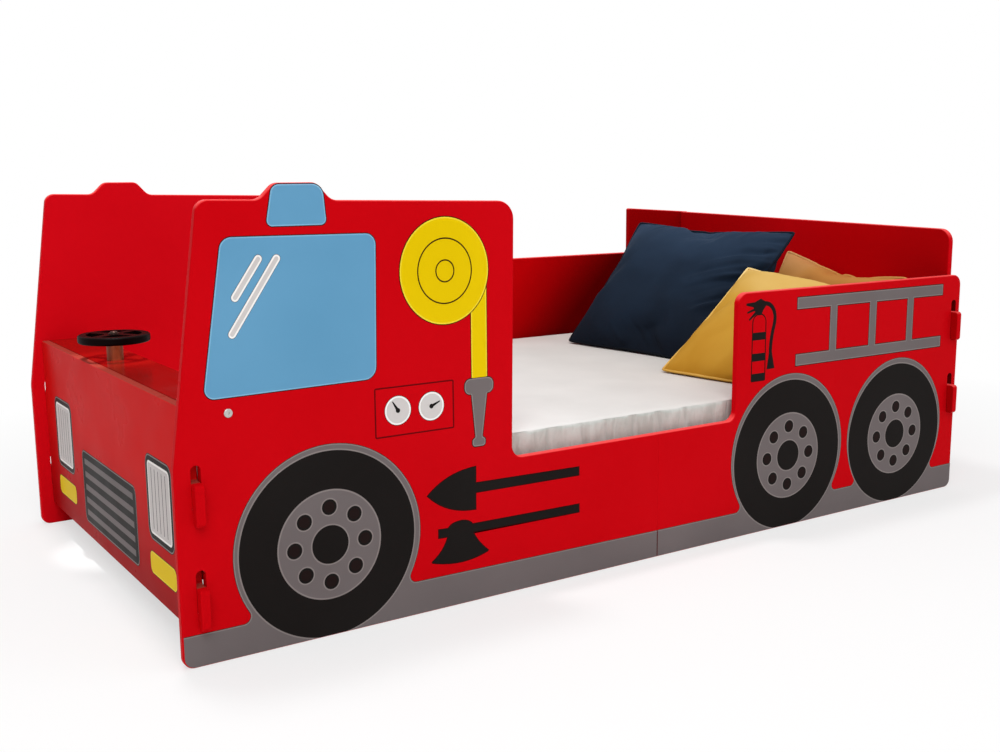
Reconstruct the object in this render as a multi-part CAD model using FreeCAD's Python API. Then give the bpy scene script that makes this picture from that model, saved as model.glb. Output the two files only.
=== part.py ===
import FreeCAD, Part
import math
import os

# Toddler bed shaped as a fire engine. Millimetres, +Z up, X along the bed with the cab at -X,
# the photographed side at -Y, origin on the floor under the middle of the bed.

# Mattress, and the room left round it
MATTRESS_LENGTH = 1400.0
MATTRESS_WIDTH = 700.0
MATTRESS_THICKNESS = 100.0
MATTRESS_TOP = 236.0
MATTRESS_CORNER = 36.0
MATTRESS_EDGE = 16.0
MATTRESS_END_GAP = 4.75
MATTRESS_SIDE_GAP = 8.0

# Boards
BOARD = 12.0
EDGE_ROUND = 2.5
SIDE_CORNER = 14.0

# Outline of a side: cab, entry and guard, measured from the front edge and the floor
CAB_LENGTH = 476.0
CAB_REAR_RAKE = 5.0
ROOF_FRONT_HEIGHT = 558.0
ROOF_REAR_HEIGHT = 548.0
ROOF_FRONT_CORNER = 16.0
ROOF_REAR_CORNER = 25.0
KINK_HEIGHT = 242.0
KINK_BEND = 60.0
WINDSCREEN_RAKE = 44.0
BEACON_FROM_FRONT = 166.4
BEACON_TOP_WIDTH = 54.0
BEACON_FOOT_WIDTH = 93.5
BEACON_HEIGHT = 575.0
BEACON_FOOT_BEND = 18.0
BEACON_TOP_CORNER = 15.0
SILL_HEIGHT = 194.5
ENTRY_CORNER = 17.0
GUARD_LENGTH = 561.0
GUARD_HEIGHT = 397.0
FAR_GUARD_RISE = 12.0
GUARD_CORNER = 19.0
WING_LENGTH = 177.5
WING_RISE = 11.0
WING_STEP_CORNER = 4.0
SEAM_FROM_FRONT = 743.5
SEAM_GAP = 0.2

# End panels and their hooks
PANEL_CLEARANCE = 0.2
PANEL_BOTTOM = 36.0
PANEL_LOW_CORNER = 6.0
FRONT_PANEL_TOP = 315.0
FRONT_PANEL_FROM_EDGE = 26.5
REAR_PANEL_RISE = 82.0
REAR_PANEL_SLOPE = 17.0
REAR_PANEL_FROM_EDGE = 18.0
REAR_PANEL_CORNER = 24.0
PANEL_EDGE_ROUND = 2.0
FRONT_HOOK_TOPS = (99.5, 228.0)
REAR_HOOK_DROPS = (201.0, 66.0)
HOOK_HEIGHT = 52.0
HOOK_NECK = 32.0
HOOK_LIP = 13.7
HOOK_CORNER = 6.0
HOOK_INNER_CORNER = 3.0
LIP_CLEARANCE = 0.3
SLOT_SIDE_CLEARANCE = 0.3
SLOT_SEAT_CLEARANCE = 0.1
SLOT_HEADROOM = 21.0

# Dash shelf and its screws
SHELF_DEPTH = 74.0
SHELF_ROUND = 2.5
SCREW_SHANK = 4.0
SCREW_CLEARANCE = 0.05
SHELF_SCREW_LENGTH = 36.0
SHELF_SCREW_HEAD = 11.0
SHELF_SCREW_HEAD_HEIGHT = 1.4
SHELF_SCREW_DROP = 2.5
SCREW_RECESS = 3.2
SCREW_RECESS_DEPTH = 1.4

# Steering wheel on its wooden spindle
WHEEL_OFFSET = 80.0
WHEEL_FROM_FRONT = 32.0
WHEEL_DIAMETER = 104.0
WHEEL_THICKNESS = 12.0
WHEEL_RIM = 12.0
WHEEL_HUB = 28.0
WHEEL_SPOKE = 13.0
WHEEL_SPOKES = 4
WHEEL_ROUND = 3.0
WHEEL_TURN = 35.0
SPINDLE_DIAMETER = 24.0
SPINDLE_HEIGHT = 25.0
AXLE_DIAMETER = 6.0
AXLE_CLEARANCE = 0.05
AXLE_HEAD = 11.0
AXLE_HEAD_HEIGHT = 2.6
WASHER_DIAMETER = 16.0
WASHER_THICKNESS = 1.2
RUNNING_GAP = 0.1
NUT_ACROSS_FLATS = 10.0
NUT_HEIGHT = 6.0
AXLE_TAIL = 2.0

# Slatted base
SLAT_COUNT = 12
SLAT_WIDTH = 62.0
SLAT_THICKNESS = 14.0
SLAT_END_GAP = 3.0
SLAT_ROUND = 2.0
BEARER_HEIGHT = 24.0
BEARER_WIDTH = 24.0
BEARER_END_GAP = 6.0
SCREWS_PER_BEARER = 4
SCREW_HEAD = 8.0
SCREW_HEAD_DEPTH = 2.6
SCREW_GRIP = 9.0
SLAT_SCREW_GRIP = 14.4

# Seam between the two halves of a side
PLATE_LENGTH = 140.0
PLATE_HEIGHT = 78.0
PLATE_BELOW_BEARER = 6.0
PLATE_CORNER = 8.0
PLATE_SCREW_INSET = 18.0
PLATE_SCREW_GRIP = 8.0
DOWEL_DIAMETER = 6.0
DOWEL_LENGTH = 40.0
DOWEL_HEIGHTS = (34.0, 160.0)
DOWEL_END_GAP = 0.5

# Loose cushions, each placed by its far lower corner from the near rear corner of the mattress's well,
# and turned by its yaw, lean and roll in degrees
SOFT_GAP = 0.3
SEAM_THICKNESS = 6.0
CUSHION_PULL = 9.0
NAVY_WIDTH = 372.0
NAVY_HEIGHT = 331.0
NAVY_THICKNESS = 104.0
NAVY_FROM_REAR = 414.0
NAVY_FROM_NEAR = 595.0
NAVY_ABOVE = 5.5
NAVY_YAW_ANGLE = 15.2
NAVY_LEAN_ANGLE = 45.0
NAVY_ROLL_ANGLE = -2.5
MUSTARD_WIDTH = 225.0
MUSTARD_HEIGHT = 310.5
MUSTARD_THICKNESS = 76.0
MUSTARD_FROM_REAR = 463.5
MUSTARD_FROM_NEAR = 245.0
MUSTARD_ABOVE = 0.5
MUSTARD_YAW_ANGLE = 10.9
MUSTARD_LEAN_ANGLE = 32.5
MUSTARD_ROLL_ANGLE = 0.0
GOLD_WIDTH = 310.0
GOLD_HEIGHT = 180.0
GOLD_THICKNESS = 76.0
GOLD_FROM_REAR = 87.2
GOLD_FROM_NEAR = 400.0
GOLD_ABOVE = 22.5
GOLD_YAW_ANGLE = 0.0
GOLD_LEAN_ANGLE = 62.0
GOLD_ROLL_ANGLE = -5.0

# Places that follow from the sizes above
INNER_WIDTH = MATTRESS_WIDTH + 2 * MATTRESS_SIDE_GAP
WELL_LENGTH = MATTRESS_LENGTH + 2 * MATTRESS_END_GAP
BED_LENGTH = WELL_LENGTH + BOARD + FRONT_PANEL_FROM_EDGE + REAR_PANEL_FROM_EDGE
FRONT = -BED_LENGTH / 2
REAR = BED_LENGTH / 2
HALF_INNER = INNER_WIDTH / 2
HALF_OUTER = HALF_INNER + BOARD
SEAM = FRONT + SEAM_FROM_FRONT
FAR_GUARD_HEIGHT = GUARD_HEIGHT + FAR_GUARD_RISE
REAR_PANEL_TOP = GUARD_HEIGHT + REAR_PANEL_RISE
REAR_PANEL_FAR_TOP = REAR_PANEL_TOP + REAR_PANEL_SLOPE
WING_TOP = REAR_PANEL_FAR_TOP + WING_RISE
REAR_HOOK_TOPS = tuple(GUARD_HEIGHT - drop for drop in REAR_HOOK_DROPS)
FRONT_PANEL_X = FRONT + FRONT_PANEL_FROM_EDGE
REAR_PANEL_X = REAR - REAR_PANEL_FROM_EDGE
WELL_FRONT = FRONT_PANEL_X + BOARD / 2
WELL_REAR = REAR_PANEL_X - BOARD / 2
SHELF_TOP = FRONT_PANEL_TOP
SHELF_MIDDLE_X = WELL_FRONT + SHELF_DEPTH / 2
SHELF_SCREW_Z = SHELF_TOP - BOARD / 2 - SHELF_SCREW_DROP
SLAT_TOP = MATTRESS_TOP - MATTRESS_THICKNESS
BEARER_TOP = SLAT_TOP - SLAT_THICKNESS
BEARER_MIDDLE_Z = BEARER_TOP - BEARER_HEIGHT / 2
BEARER_FACE = HALF_INNER - BEARER_WIDTH
PLATE_TOP = BEARER_TOP - BEARER_HEIGHT - PLATE_BELOW_BEARER
PLATE_BOTTOM = PLATE_TOP - PLATE_HEIGHT
SPINDLE_TOP = SHELF_TOP + SPINDLE_HEIGHT
WHEEL_BOTTOM = SPINDLE_TOP + WASHER_THICKNESS + RUNNING_GAP
WHEEL_TOP = WHEEL_BOTTOM + WHEEL_THICKNESS
UPPER_WASHER = WHEEL_TOP + RUNNING_GAP
SHELF_UNDERSIDE = SHELF_TOP - BOARD

UP = FreeCAD.Vector(0, 0, 1)
ALONG = FreeCAD.Vector(1, 0, 0)
ACROSS = FreeCAD.Vector(0, 1, 0)


def point(x, y, z):
    return FreeCAD.Vector(x, y, z)


def on_side(a, b):
    """Point of a drawing that stands along the bed."""
    return point(a, 0, b)


def on_end(a, b):
    """Point of a drawing that stands across the bed."""
    return point(0, a, b)


def on_floor(a, b):
    """Point of a drawing that lies flat."""
    return point(a, b, 0)


def rounded_face(corners, to_space):
    """Face inside the corners (a, b, radius), each corner rounded by an arc."""
    ends = []
    for i, (a, b, radius) in enumerate(corners):
        here = to_space(a, b)
        before = to_space(*corners[i - 1][:2])
        after = to_space(*corners[(i + 1) % len(corners)][:2])
        if radius == 0:
            ends.append((here, None, here))
            continue
        back = (before - here).normalize()
        ahead = (after - here).normalize()
        half = back.getAngle(ahead) / 2
        reach = radius / math.tan(half)
        inward = (back + ahead).normalize()
        middle = here + inward * (radius / math.sin(half) - radius)
        ends.append((here + back * reach, middle, here + ahead * reach))
    edges = []
    for i, (start, middle, end) in enumerate(ends):
        if middle is not None:
            edges.append(Part.Arc(start, middle, end).toShape())
        following = ends[(i + 1) % len(ends)][0]
        if (following - end).Length > 1e-6:
            edges.append(Part.makeLine(end, following))
    return Part.Face(Part.Wire(edges))


def round_edges(board, radius, normal, keeps_sharp):
    """Board with the rims of its two broad faces rounded, apart from the edges that stay sharp."""
    rims = []
    for face in board.Faces:
        if abs(abs(face.normalAt(0, 0).dot(normal)) - 1) < 1e-6 and face.Area > BOARD * BOARD:
            rims.extend(edge for edge in face.Edges if not keeps_sharp(edge))
    return board.makeFillet(radius, rims)


def cylinder(diameter, length, base, axis):
    return Part.makeCylinder(diameter / 2, length, base, axis)


def loose(diameter, clearance):
    """Diameter of a hole around a shaft."""
    return diameter + 2 * clearance


def mirrored(shape):
    """The same piece for the other side of the bed."""
    return shape.mirror(point(0, 0, 0), ACROSS)


def spread(count, first, last):
    """Evenly spaced places from the first to the last."""
    return [first + (last - first) * i / (count - 1) for i in range(count)]


def roof_height(x):
    """Height of the cab's sloping roof line."""
    share = (x - FRONT) / CAB_LENGTH
    return ROOF_FRONT_HEIGHT + (ROOF_REAR_HEIGHT - ROOF_FRONT_HEIGHT) * share


def cab_outline():
    beacon = FRONT + BEACON_FROM_FRONT
    foot = BEACON_FOOT_WIDTH / 2
    top = BEACON_TOP_WIDTH / 2
    roof_front = FRONT + WINDSCREEN_RAKE
    entry_front = FRONT + CAB_LENGTH
    roof_rear = entry_front + CAB_REAR_RAKE
    seam_end = SEAM - SEAM_GAP / 2
    return [
        (FRONT, 0, SIDE_CORNER),
        (FRONT, KINK_HEIGHT, KINK_BEND),
        (roof_front, roof_height(roof_front), ROOF_FRONT_CORNER),
        (beacon - foot, roof_height(beacon - foot), BEACON_FOOT_BEND),
        (beacon - top, BEACON_HEIGHT, BEACON_TOP_CORNER),
        (beacon + top, BEACON_HEIGHT, BEACON_TOP_CORNER),
        (beacon + foot, roof_height(beacon + foot), BEACON_FOOT_BEND),
        (roof_rear, roof_height(roof_rear), ROOF_REAR_CORNER),
        (entry_front, SILL_HEIGHT, ENTRY_CORNER),
        (seam_end, SILL_HEIGHT, 0),
        (seam_end, 0, 0),
    ]


def guard_outline(guard_height, has_wing):
    seam_end = SEAM + SEAM_GAP / 2
    guard_front = REAR - GUARD_LENGTH
    outline = [
        (seam_end, 0, 0),
        (seam_end, SILL_HEIGHT, 0),
        (guard_front, SILL_HEIGHT, ENTRY_CORNER),
        (guard_front, guard_height, GUARD_CORNER),
    ]
    if has_wing:
        wing_front = REAR - WING_LENGTH
        outline += [
            (wing_front, guard_height, WING_STEP_CORNER),
            (wing_front, WING_TOP, WING_STEP_CORNER),
            (REAR, REAR_PANEL_FAR_TOP, WING_STEP_CORNER),
        ]
    else:
        outline.append((REAR, guard_height, GUARD_CORNER))
    outline.append((REAR, 0, SIDE_CORNER))
    return outline


def side_board(outline):
    """Half of the near side: a board whose inner face is at -HALF_INNER."""
    board = rounded_face(outline, on_side).extrude(ACROSS * BOARD)
    board.translate(point(0, -HALF_OUTER, 0))

    def at_seam(edge):
        return all(abs(v.X - SEAM) < SEAM_GAP for v in edge.Vertexes)

    return round_edges(board, EDGE_ROUND, ACROSS, at_seam)


def hook_slot(x, hook_top):
    """Slot that lets a hook in from above and carries its neck."""
    width = BOARD + 2 * SLOT_SIDE_CLEARANCE
    bottom = hook_top - HOOK_NECK - SLOT_SEAT_CLEARANCE
    top = hook_top + SLOT_HEADROOM
    crown = top - width / 2
    lower = Part.makeBox(width, BOARD, crown - bottom, point(x - width / 2, -HALF_OUTER, bottom))
    return lower.fuse(cylinder(width, BOARD, point(x, -HALF_OUTER, crown), ACROSS))


def side_holes(first, last):
    """Screw and dowel holes in the stretch of the near side between two places."""
    bore = loose(SCREW_SHANK, SCREW_CLEARANCE)
    holes = []
    if first < SHELF_MIDDLE_X < last:
        holes.append(cylinder(bore, BOARD, point(SHELF_MIDDLE_X, -HALF_OUTER, SHELF_SCREW_Z), ACROSS))
    for x in bearer_screw_places(first, last):
        depth = SCREW_GRIP + SCREW_CLEARANCE
        holes.append(cylinder(bore, depth, point(x, -HALF_INNER, BEARER_MIDDLE_Z), -ACROSS))
    for x, z in plate_screw_places():
        if first < x < last:
            depth = PLATE_SCREW_GRIP + SCREW_CLEARANCE
            holes.append(cylinder(bore, depth, point(x, -HALF_INNER, z), -ACROSS))
    for z in DOWEL_HEIGHTS:
        length = DOWEL_LENGTH + 2 * DOWEL_END_GAP
        start = point(SEAM - length / 2, -HALF_INNER - BOARD / 2, z)
        holes.append(cylinder(loose(DOWEL_DIAMETER, SCREW_CLEARANCE), length, start, ALONG))
    return holes


def cab_side():
    board = side_board(cab_outline())
    cuts = [hook_slot(FRONT_PANEL_X, top) for top in FRONT_HOOK_TOPS]
    return board.cut(cuts + side_holes(FRONT, SEAM))


def guard_side(guard_height, has_wing):
    board = side_board(guard_outline(guard_height, has_wing))
    cuts = [hook_slot(REAR_PANEL_X, top) for top in REAR_HOOK_TOPS]
    return board.cut(cuts + side_holes(SEAM, REAR))


def hook_outline(edge, hook_top):
    """Corners of one hook on the panel's end at +edge, from its top to its neck's underside."""
    lip_inner = HALF_OUTER + LIP_CLEARANCE
    lip_outer = lip_inner + HOOK_LIP
    bottom = hook_top - HOOK_HEIGHT
    neck_bottom = hook_top - HOOK_NECK
    return [
        (edge, hook_top, HOOK_INNER_CORNER),
        (lip_outer, hook_top, HOOK_CORNER),
        (lip_outer, bottom, HOOK_CORNER),
        (lip_inner, bottom, HOOK_INNER_CORNER),
        (lip_inner, neck_bottom, 0),
        (edge, neck_bottom, 0),
    ]


def end_panel(x, near_top, near_corner, far_top, far_corner, hook_tops):
    """Board across the bed, hung in the slots of both sides by its hooks."""
    edge = HALF_INNER - PANEL_CLEARANCE
    below = []
    for hook_top in sorted(hook_tops, reverse=True):
        below += hook_outline(edge, hook_top)
    below.append((edge, PANEL_BOTTOM, PANEL_LOW_CORNER))
    right = [(edge, far_top, far_corner)] + below
    left = [(-a, b, radius) for a, b, radius in reversed(below)] + [(-edge, near_top, near_corner)]
    panel = rounded_face(right + left, on_end).extrude(ALONG * BOARD)
    panel.translate(point(x - BOARD / 2, 0, 0))
    return round_edges(panel, PANEL_EDGE_ROUND, ALONG, lambda edge: False)


def dash_shelf():
    width = INNER_WIDTH - 2 * PANEL_CLEARANCE
    shelf = Part.makeBox(SHELF_DEPTH, width, BOARD, point(WELL_FRONT, -width / 2, SHELF_UNDERSIDE))
    back = WELL_FRONT + SHELF_DEPTH
    rims = [edge for edge in shelf.Edges if all(abs(v.X - back) < 1e-6 for v in edge.Vertexes)]
    rims = [edge for edge in rims if edge.Length > width / 2]
    shelf = shelf.makeFillet(SHELF_ROUND, rims)
    depth = SHELF_SCREW_LENGTH - BOARD + SCREW_CLEARANCE
    bore = loose(SCREW_SHANK, SCREW_CLEARANCE)
    near = cylinder(bore, depth, point(SHELF_MIDDLE_X, -HALF_INNER, SHELF_SCREW_Z), ACROSS)
    axle = cylinder(loose(AXLE_DIAMETER, AXLE_CLEARANCE), BOARD, wheel_point(SHELF_UNDERSIDE), UP)
    return shelf.cut([near, mirrored(near), axle])


def shelf_screw():
    """Round-head screw through the near side into the end of the shelf."""
    face = point(SHELF_MIDDLE_X, -HALF_OUTER, SHELF_SCREW_Z)
    head = cylinder(SHELF_SCREW_HEAD, SHELF_SCREW_HEAD_HEIGHT, face, -ACROSS)
    rim = [edge for edge in head.Edges if abs(edge.BoundBox.YMax + HALF_OUTER) > SHELF_SCREW_HEAD_HEIGHT / 2]
    head = head.makeFillet(SHELF_SCREW_HEAD_HEIGHT * 0.6, rim)
    recess_face = face - ACROSS * SHELF_SCREW_HEAD_HEIGHT
    head = head.cut(hexagon(SCREW_RECESS, SCREW_RECESS_DEPTH, recess_face, ACROSS))
    return head.fuse(cylinder(SCREW_SHANK, SHELF_SCREW_LENGTH, face, ACROSS)).removeSplitter()


def hexagon(across_flats, height, base, axis):
    """Six-sided prism that starts at base and runs along the axis."""
    radius = across_flats / math.sqrt(3)
    turn = FreeCAD.Rotation(UP, axis)
    rim = [turn.multVec(point(radius * math.cos(a), radius * math.sin(a), 0)) + base
           for a in (math.radians(60 * i) for i in range(6))]
    return Part.Face(Part.makePolygon(rim + rim[:1])).extrude(axis * height)


def wheel_point(z):
    """Point on the steering wheel's axis."""
    return point(WELL_FRONT + WHEEL_FROM_FRONT, WHEEL_OFFSET, z)


def axle_bore(bottom, height):
    return cylinder(loose(AXLE_DIAMETER, AXLE_CLEARANCE), height, wheel_point(bottom), UP)


def wheel_window(inner, outer):
    """Opening between two spokes, as an upright prism over one sector of the wheel."""
    half_spoke = WHEEL_SPOKE / 2
    step = math.radians(360 / WHEEL_SPOKES)
    ring = cylinder(2 * outer, WHEEL_THICKNESS, point(0, 0, 0), UP)
    ring = ring.cut(cylinder(2 * inner, WHEEL_THICKNESS, point(0, 0, 0), UP))
    reach = 2 * outer
    corner = half_spoke / math.sin(step / 2)
    tip = point(corner * math.cos(step / 2), corner * math.sin(step / 2), 0)
    along_first = ALONG * reach
    along_second = point(math.cos(step), math.sin(step), 0) * reach
    rim = [tip, tip + along_first, tip + along_first + along_second, tip + along_second, tip]
    sector = Part.Face(Part.makePolygon(rim)).extrude(UP * WHEEL_THICKNESS)
    return ring.common(sector)


def steering_wheel():
    radius = WHEEL_DIAMETER / 2
    wheel = cylinder(WHEEL_DIAMETER, WHEEL_THICKNESS, point(0, 0, 0), UP)
    rims = [edge for edge in wheel.Edges if edge.Closed]
    wheel = wheel.makeFillet(WHEEL_ROUND, rims)
    window = wheel_window(WHEEL_HUB / 2, radius - WHEEL_RIM)
    cuts = []
    for i in range(WHEEL_SPOKES):
        cut = window.copy()
        cut.rotate(point(0, 0, 0), UP, WHEEL_TURN + i * 360 / WHEEL_SPOKES)
        cuts.append(cut)
    wheel = wheel.cut(cuts)
    wheel.translate(wheel_point(WHEEL_BOTTOM))
    return wheel.cut(axle_bore(WHEEL_BOTTOM, WHEEL_THICKNESS))


def wheel_spindle():
    post = cylinder(SPINDLE_DIAMETER, SPINDLE_HEIGHT, wheel_point(SHELF_TOP), UP)
    return post.cut(axle_bore(SHELF_TOP, SPINDLE_HEIGHT))


def wheel_washer(bottom):
    disc = cylinder(WASHER_DIAMETER, WASHER_THICKNESS, wheel_point(bottom), UP)
    return disc.cut(axle_bore(bottom, WASHER_THICKNESS))


def wheel_axle():
    """Domed bolt through the wheel, spindle and shelf."""
    seat = UPPER_WASHER + WASHER_THICKNESS
    head = cylinder(AXLE_HEAD, AXLE_HEAD_HEIGHT, wheel_point(seat), UP)
    rim = [edge for edge in head.Edges if edge.Closed and edge.BoundBox.ZMin > seat + AXLE_HEAD_HEIGHT / 2]
    head = head.makeFillet(AXLE_HEAD_HEIGHT * 0.7, rim)
    tail = SHELF_UNDERSIDE - WASHER_THICKNESS - NUT_HEIGHT - AXLE_TAIL
    return head.fuse(cylinder(AXLE_DIAMETER, seat - tail, wheel_point(tail), UP)).removeSplitter()


def axle_nut():
    bottom = SHELF_UNDERSIDE - WASHER_THICKNESS - NUT_HEIGHT
    nut = hexagon(NUT_ACROSS_FLATS, NUT_HEIGHT, wheel_point(bottom), UP)
    return nut.cut(axle_bore(bottom, NUT_HEIGHT))


def bearer_span(first, last):
    """Ends of the bearer on one half of a side."""
    start = max(first, WELL_FRONT) + BEARER_END_GAP
    end = min(last, WELL_REAR) - BEARER_END_GAP
    return start, end


def bearer_screw_places(first, last):
    start, end = bearer_span(first, last)
    inset = BEARER_WIDTH
    return spread(SCREWS_PER_BEARER, start + inset, end - inset)


def slat_places():
    margin = SLAT_WIDTH / 2 + BEARER_END_GAP
    return spread(SLAT_COUNT, WELL_FRONT + margin, WELL_REAR - margin)


def slat_screw_y():
    return -HALF_INNER + BEARER_WIDTH / 2


def countersunk_screw(seat, axis, length):
    """Flat-head screw whose head is flush with the face at seat, running along the axis."""
    head = Part.makeCone(SCREW_HEAD / 2, SCREW_SHANK / 2, SCREW_HEAD_DEPTH, seat, axis)
    recess = hexagon(SCREW_RECESS, SCREW_RECESS_DEPTH, seat, axis)
    return head.fuse(cylinder(SCREW_SHANK, length, seat, axis)).removeSplitter().cut(recess)


def countersunk_hole(seat, axis, length):
    spare = 2 * SCREW_CLEARANCE
    head = Part.makeCone((SCREW_HEAD + spare) / 2, (SCREW_SHANK + spare) / 2, SCREW_HEAD_DEPTH, seat, axis)
    return head.fuse(cylinder(SCREW_SHANK + spare, length, seat, axis))


def bearer_screw_length():
    return BEARER_WIDTH + SCREW_GRIP


def slat_screw_length():
    return SLAT_THICKNESS + SLAT_SCREW_GRIP


def bearer(first, last):
    """Pine batten along the inside of the near side."""
    start, end = bearer_span(first, last)
    batten = Part.makeBox(end - start, BEARER_WIDTH, BEARER_HEIGHT,
                          point(start, -HALF_INNER, BEARER_TOP - BEARER_HEIGHT))
    cuts = []
    for x in bearer_screw_places(first, last):
        cuts.append(countersunk_hole(point(x, -BEARER_FACE, BEARER_MIDDLE_Z), -ACROSS, BEARER_WIDTH))
    depth = slat_screw_length() - SLAT_THICKNESS + SCREW_CLEARANCE
    bore = loose(SCREW_SHANK, SCREW_CLEARANCE)
    for x in slat_places():
        if start < x - SCREW_SHANK and x + SCREW_SHANK < end:
            cuts.append(cylinder(bore, depth, point(x, slat_screw_y(), BEARER_TOP), -UP))
    return batten.cut(cuts)


def bearer_screws(first, last):
    return [countersunk_screw(point(x, -BEARER_FACE, BEARER_MIDDLE_Z), -ACROSS, bearer_screw_length())
            for x in bearer_screw_places(first, last)]


def slat(x):
    width = INNER_WIDTH - 2 * SLAT_END_GAP
    board = Part.makeBox(SLAT_WIDTH, width, SLAT_THICKNESS, point(x - SLAT_WIDTH / 2, -width / 2, BEARER_TOP))
    long_edges = [edge for edge in board.Edges if edge.Length > width / 2]
    board = board.makeFillet(SLAT_ROUND, long_edges)
    near = countersunk_hole(point(x, slat_screw_y(), SLAT_TOP), -UP, SLAT_THICKNESS)
    return board.cut([near, mirrored(near)])


def slat_screws():
    near = [countersunk_screw(point(x, slat_screw_y(), SLAT_TOP), -UP, slat_screw_length())
            for x in slat_places()]
    return near + [mirrored(screw) for screw in near]


def plate_screw_places():
    along = PLATE_LENGTH / 2 - PLATE_SCREW_INSET
    return [(SEAM + side * along, z)
            for side in (-1, 1)
            for z in (PLATE_BOTTOM + PLATE_SCREW_INSET, PLATE_TOP - PLATE_SCREW_INSET)]


def seam_plate():
    """Board that joins the two halves of the near side from inside."""
    half = PLATE_LENGTH / 2
    outline = [
        (SEAM - half, PLATE_BOTTOM, PLATE_CORNER),
        (SEAM - half, PLATE_TOP, PLATE_CORNER),
        (SEAM + half, PLATE_TOP, PLATE_CORNER),
        (SEAM + half, PLATE_BOTTOM, PLATE_CORNER),
    ]
    plate = rounded_face(outline, on_side).extrude(ACROSS * BOARD)
    plate.translate(point(0, -HALF_INNER, 0))
    face = BOARD - HALF_INNER
    return plate.cut([countersunk_hole(point(x, face, z), -ACROSS, BOARD) for x, z in plate_screw_places()])


def seam_screws():
    face = BOARD - HALF_INNER
    length = BOARD + PLATE_SCREW_GRIP
    near = [countersunk_screw(point(x, face, z), -ACROSS, length) for x, z in plate_screw_places()]
    return near + [mirrored(screw) for screw in near]


def seam_dowels():
    start = SEAM - DOWEL_LENGTH / 2
    near = [cylinder(DOWEL_DIAMETER, DOWEL_LENGTH, point(start, -HALF_INNER - BOARD / 2, z), ALONG)
            for z in DOWEL_HEIGHTS]
    return near + [mirrored(dowel) for dowel in near]


def mattress():
    bottom = SLAT_TOP + SOFT_GAP
    middle = (WELL_FRONT + WELL_REAR) / 2
    half_length = MATTRESS_LENGTH / 2
    half_width = MATTRESS_WIDTH / 2
    outline = [
        (middle - half_length, -half_width, MATTRESS_CORNER),
        (middle - half_length, half_width, MATTRESS_CORNER),
        (middle + half_length, half_width, MATTRESS_CORNER),
        (middle + half_length, -half_width, MATTRESS_CORNER),
    ]
    block = rounded_face(outline, on_floor).extrude(UP * (MATTRESS_THICKNESS - SOFT_GAP))
    block.translate(point(0, 0, bottom))
    return round_edges(block, MATTRESS_EDGE, UP, lambda edge: False)


def pillow_section(x, half_height, thickness):
    """Lens between two sewn edges, drawn across the cushion."""
    seam = SEAM_THICKNESS / 2
    crown = seam + thickness / 2
    low = point(x, -half_height, seam)
    high = point(x, half_height, seam)
    under_high = point(x, half_height, -seam)
    under_low = point(x, -half_height, -seam)
    return Part.Wire([
        Part.Arc(low, point(x, 0, crown), high).toShape(),
        Part.makeLine(high, under_high),
        Part.Arc(under_high, point(x, 0, -crown), under_low).toShape(),
        Part.makeLine(under_low, low),
    ])


def cushion(width, height, thickness, from_rear, from_near, above, yaw_angle, lean_angle, roll_angle):
    """Crowned cushion with drawn-in sides, cut flat where it rests on the mattress."""
    half_width = width / 2
    sections = []
    for share in (-1.0, -0.85, -0.5, 0.0, 0.5, 0.85, 1.0):
        fall = 1 - share * share
        half_height = height / 2 - CUSHION_PULL * fall
        swell = (thickness - SEAM_THICKNESS) * max(fall, 0.02) ** 0.7
        sections.append(pillow_section(share * half_width, half_height, swell))
    body = Part.makeLoft(sections, True, False)
    pull_radius = (height * height / 4 + CUSHION_PULL * CUSHION_PULL) / (2 * CUSHION_PULL)
    for side in (-1, 1):
        centre = side * (half_width + pull_radius - CUSHION_PULL)
        body = body.cut(cylinder(2 * pull_radius, 2 * thickness, point(centre, 0, -thickness), UP))
    yaw, lean, roll = math.radians(yaw_angle), math.radians(lean_angle), math.radians(roll_angle)
    edge = point(math.sin(yaw), -math.cos(yaw), 0)
    rise = point(math.cos(yaw) * math.cos(lean), math.sin(yaw) * math.cos(lean), math.sin(lean))
    along = edge * math.cos(roll) + rise * math.sin(roll)
    upward = rise * math.cos(roll) - edge * math.sin(roll)
    corner = point(WELL_REAR - from_rear, from_near - HALF_INNER, MATTRESS_TOP + above)
    middle = corner + along * half_width + upward * (height / 2)
    body.Placement = FreeCAD.Placement(middle, FreeCAD.Rotation(along, upward, along.cross(upward), "XYZ"))
    rest = MATTRESS_TOP + SOFT_GAP
    below = Part.makeBox(BED_LENGTH, INNER_WIDTH, rest, point(FRONT, -HALF_INNER, 0))
    return body.cut(below)


def write(name, *solids):
    shape = solids[0] if len(solids) == 1 else Part.makeCompound(list(solids))
    shape.exportStep("parts/" + name + ".step")
    print(name, len(shape.Solids), "solids, valid:", shape.isValid())


os.makedirs("parts", exist_ok=True)

# Sides
near_cab = cab_side()
write("near_cab_side", near_cab)
write("far_cab_side", mirrored(near_cab))
write("near_rear_side", guard_side(GUARD_HEIGHT, False))
write("far_rear_side", mirrored(guard_side(FAR_GUARD_HEIGHT, True)))
plate = seam_plate()
write("near_seam_plate", plate)
write("far_seam_plate", mirrored(plate))
write("seam_screws", *seam_screws())
write("seam_dowels", *seam_dowels())

# Ends and shelf
write("front_panel", end_panel(FRONT_PANEL_X, FRONT_PANEL_TOP, HOOK_INNER_CORNER,
                               FRONT_PANEL_TOP, HOOK_INNER_CORNER, FRONT_HOOK_TOPS))
write("rear_panel", end_panel(REAR_PANEL_X, REAR_PANEL_TOP, REAR_PANEL_CORNER,
                              REAR_PANEL_FAR_TOP, WING_STEP_CORNER, REAR_HOOK_TOPS))
write("dash_shelf", dash_shelf())
write("shelf_screws", shelf_screw(), mirrored(shelf_screw()))

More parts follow.
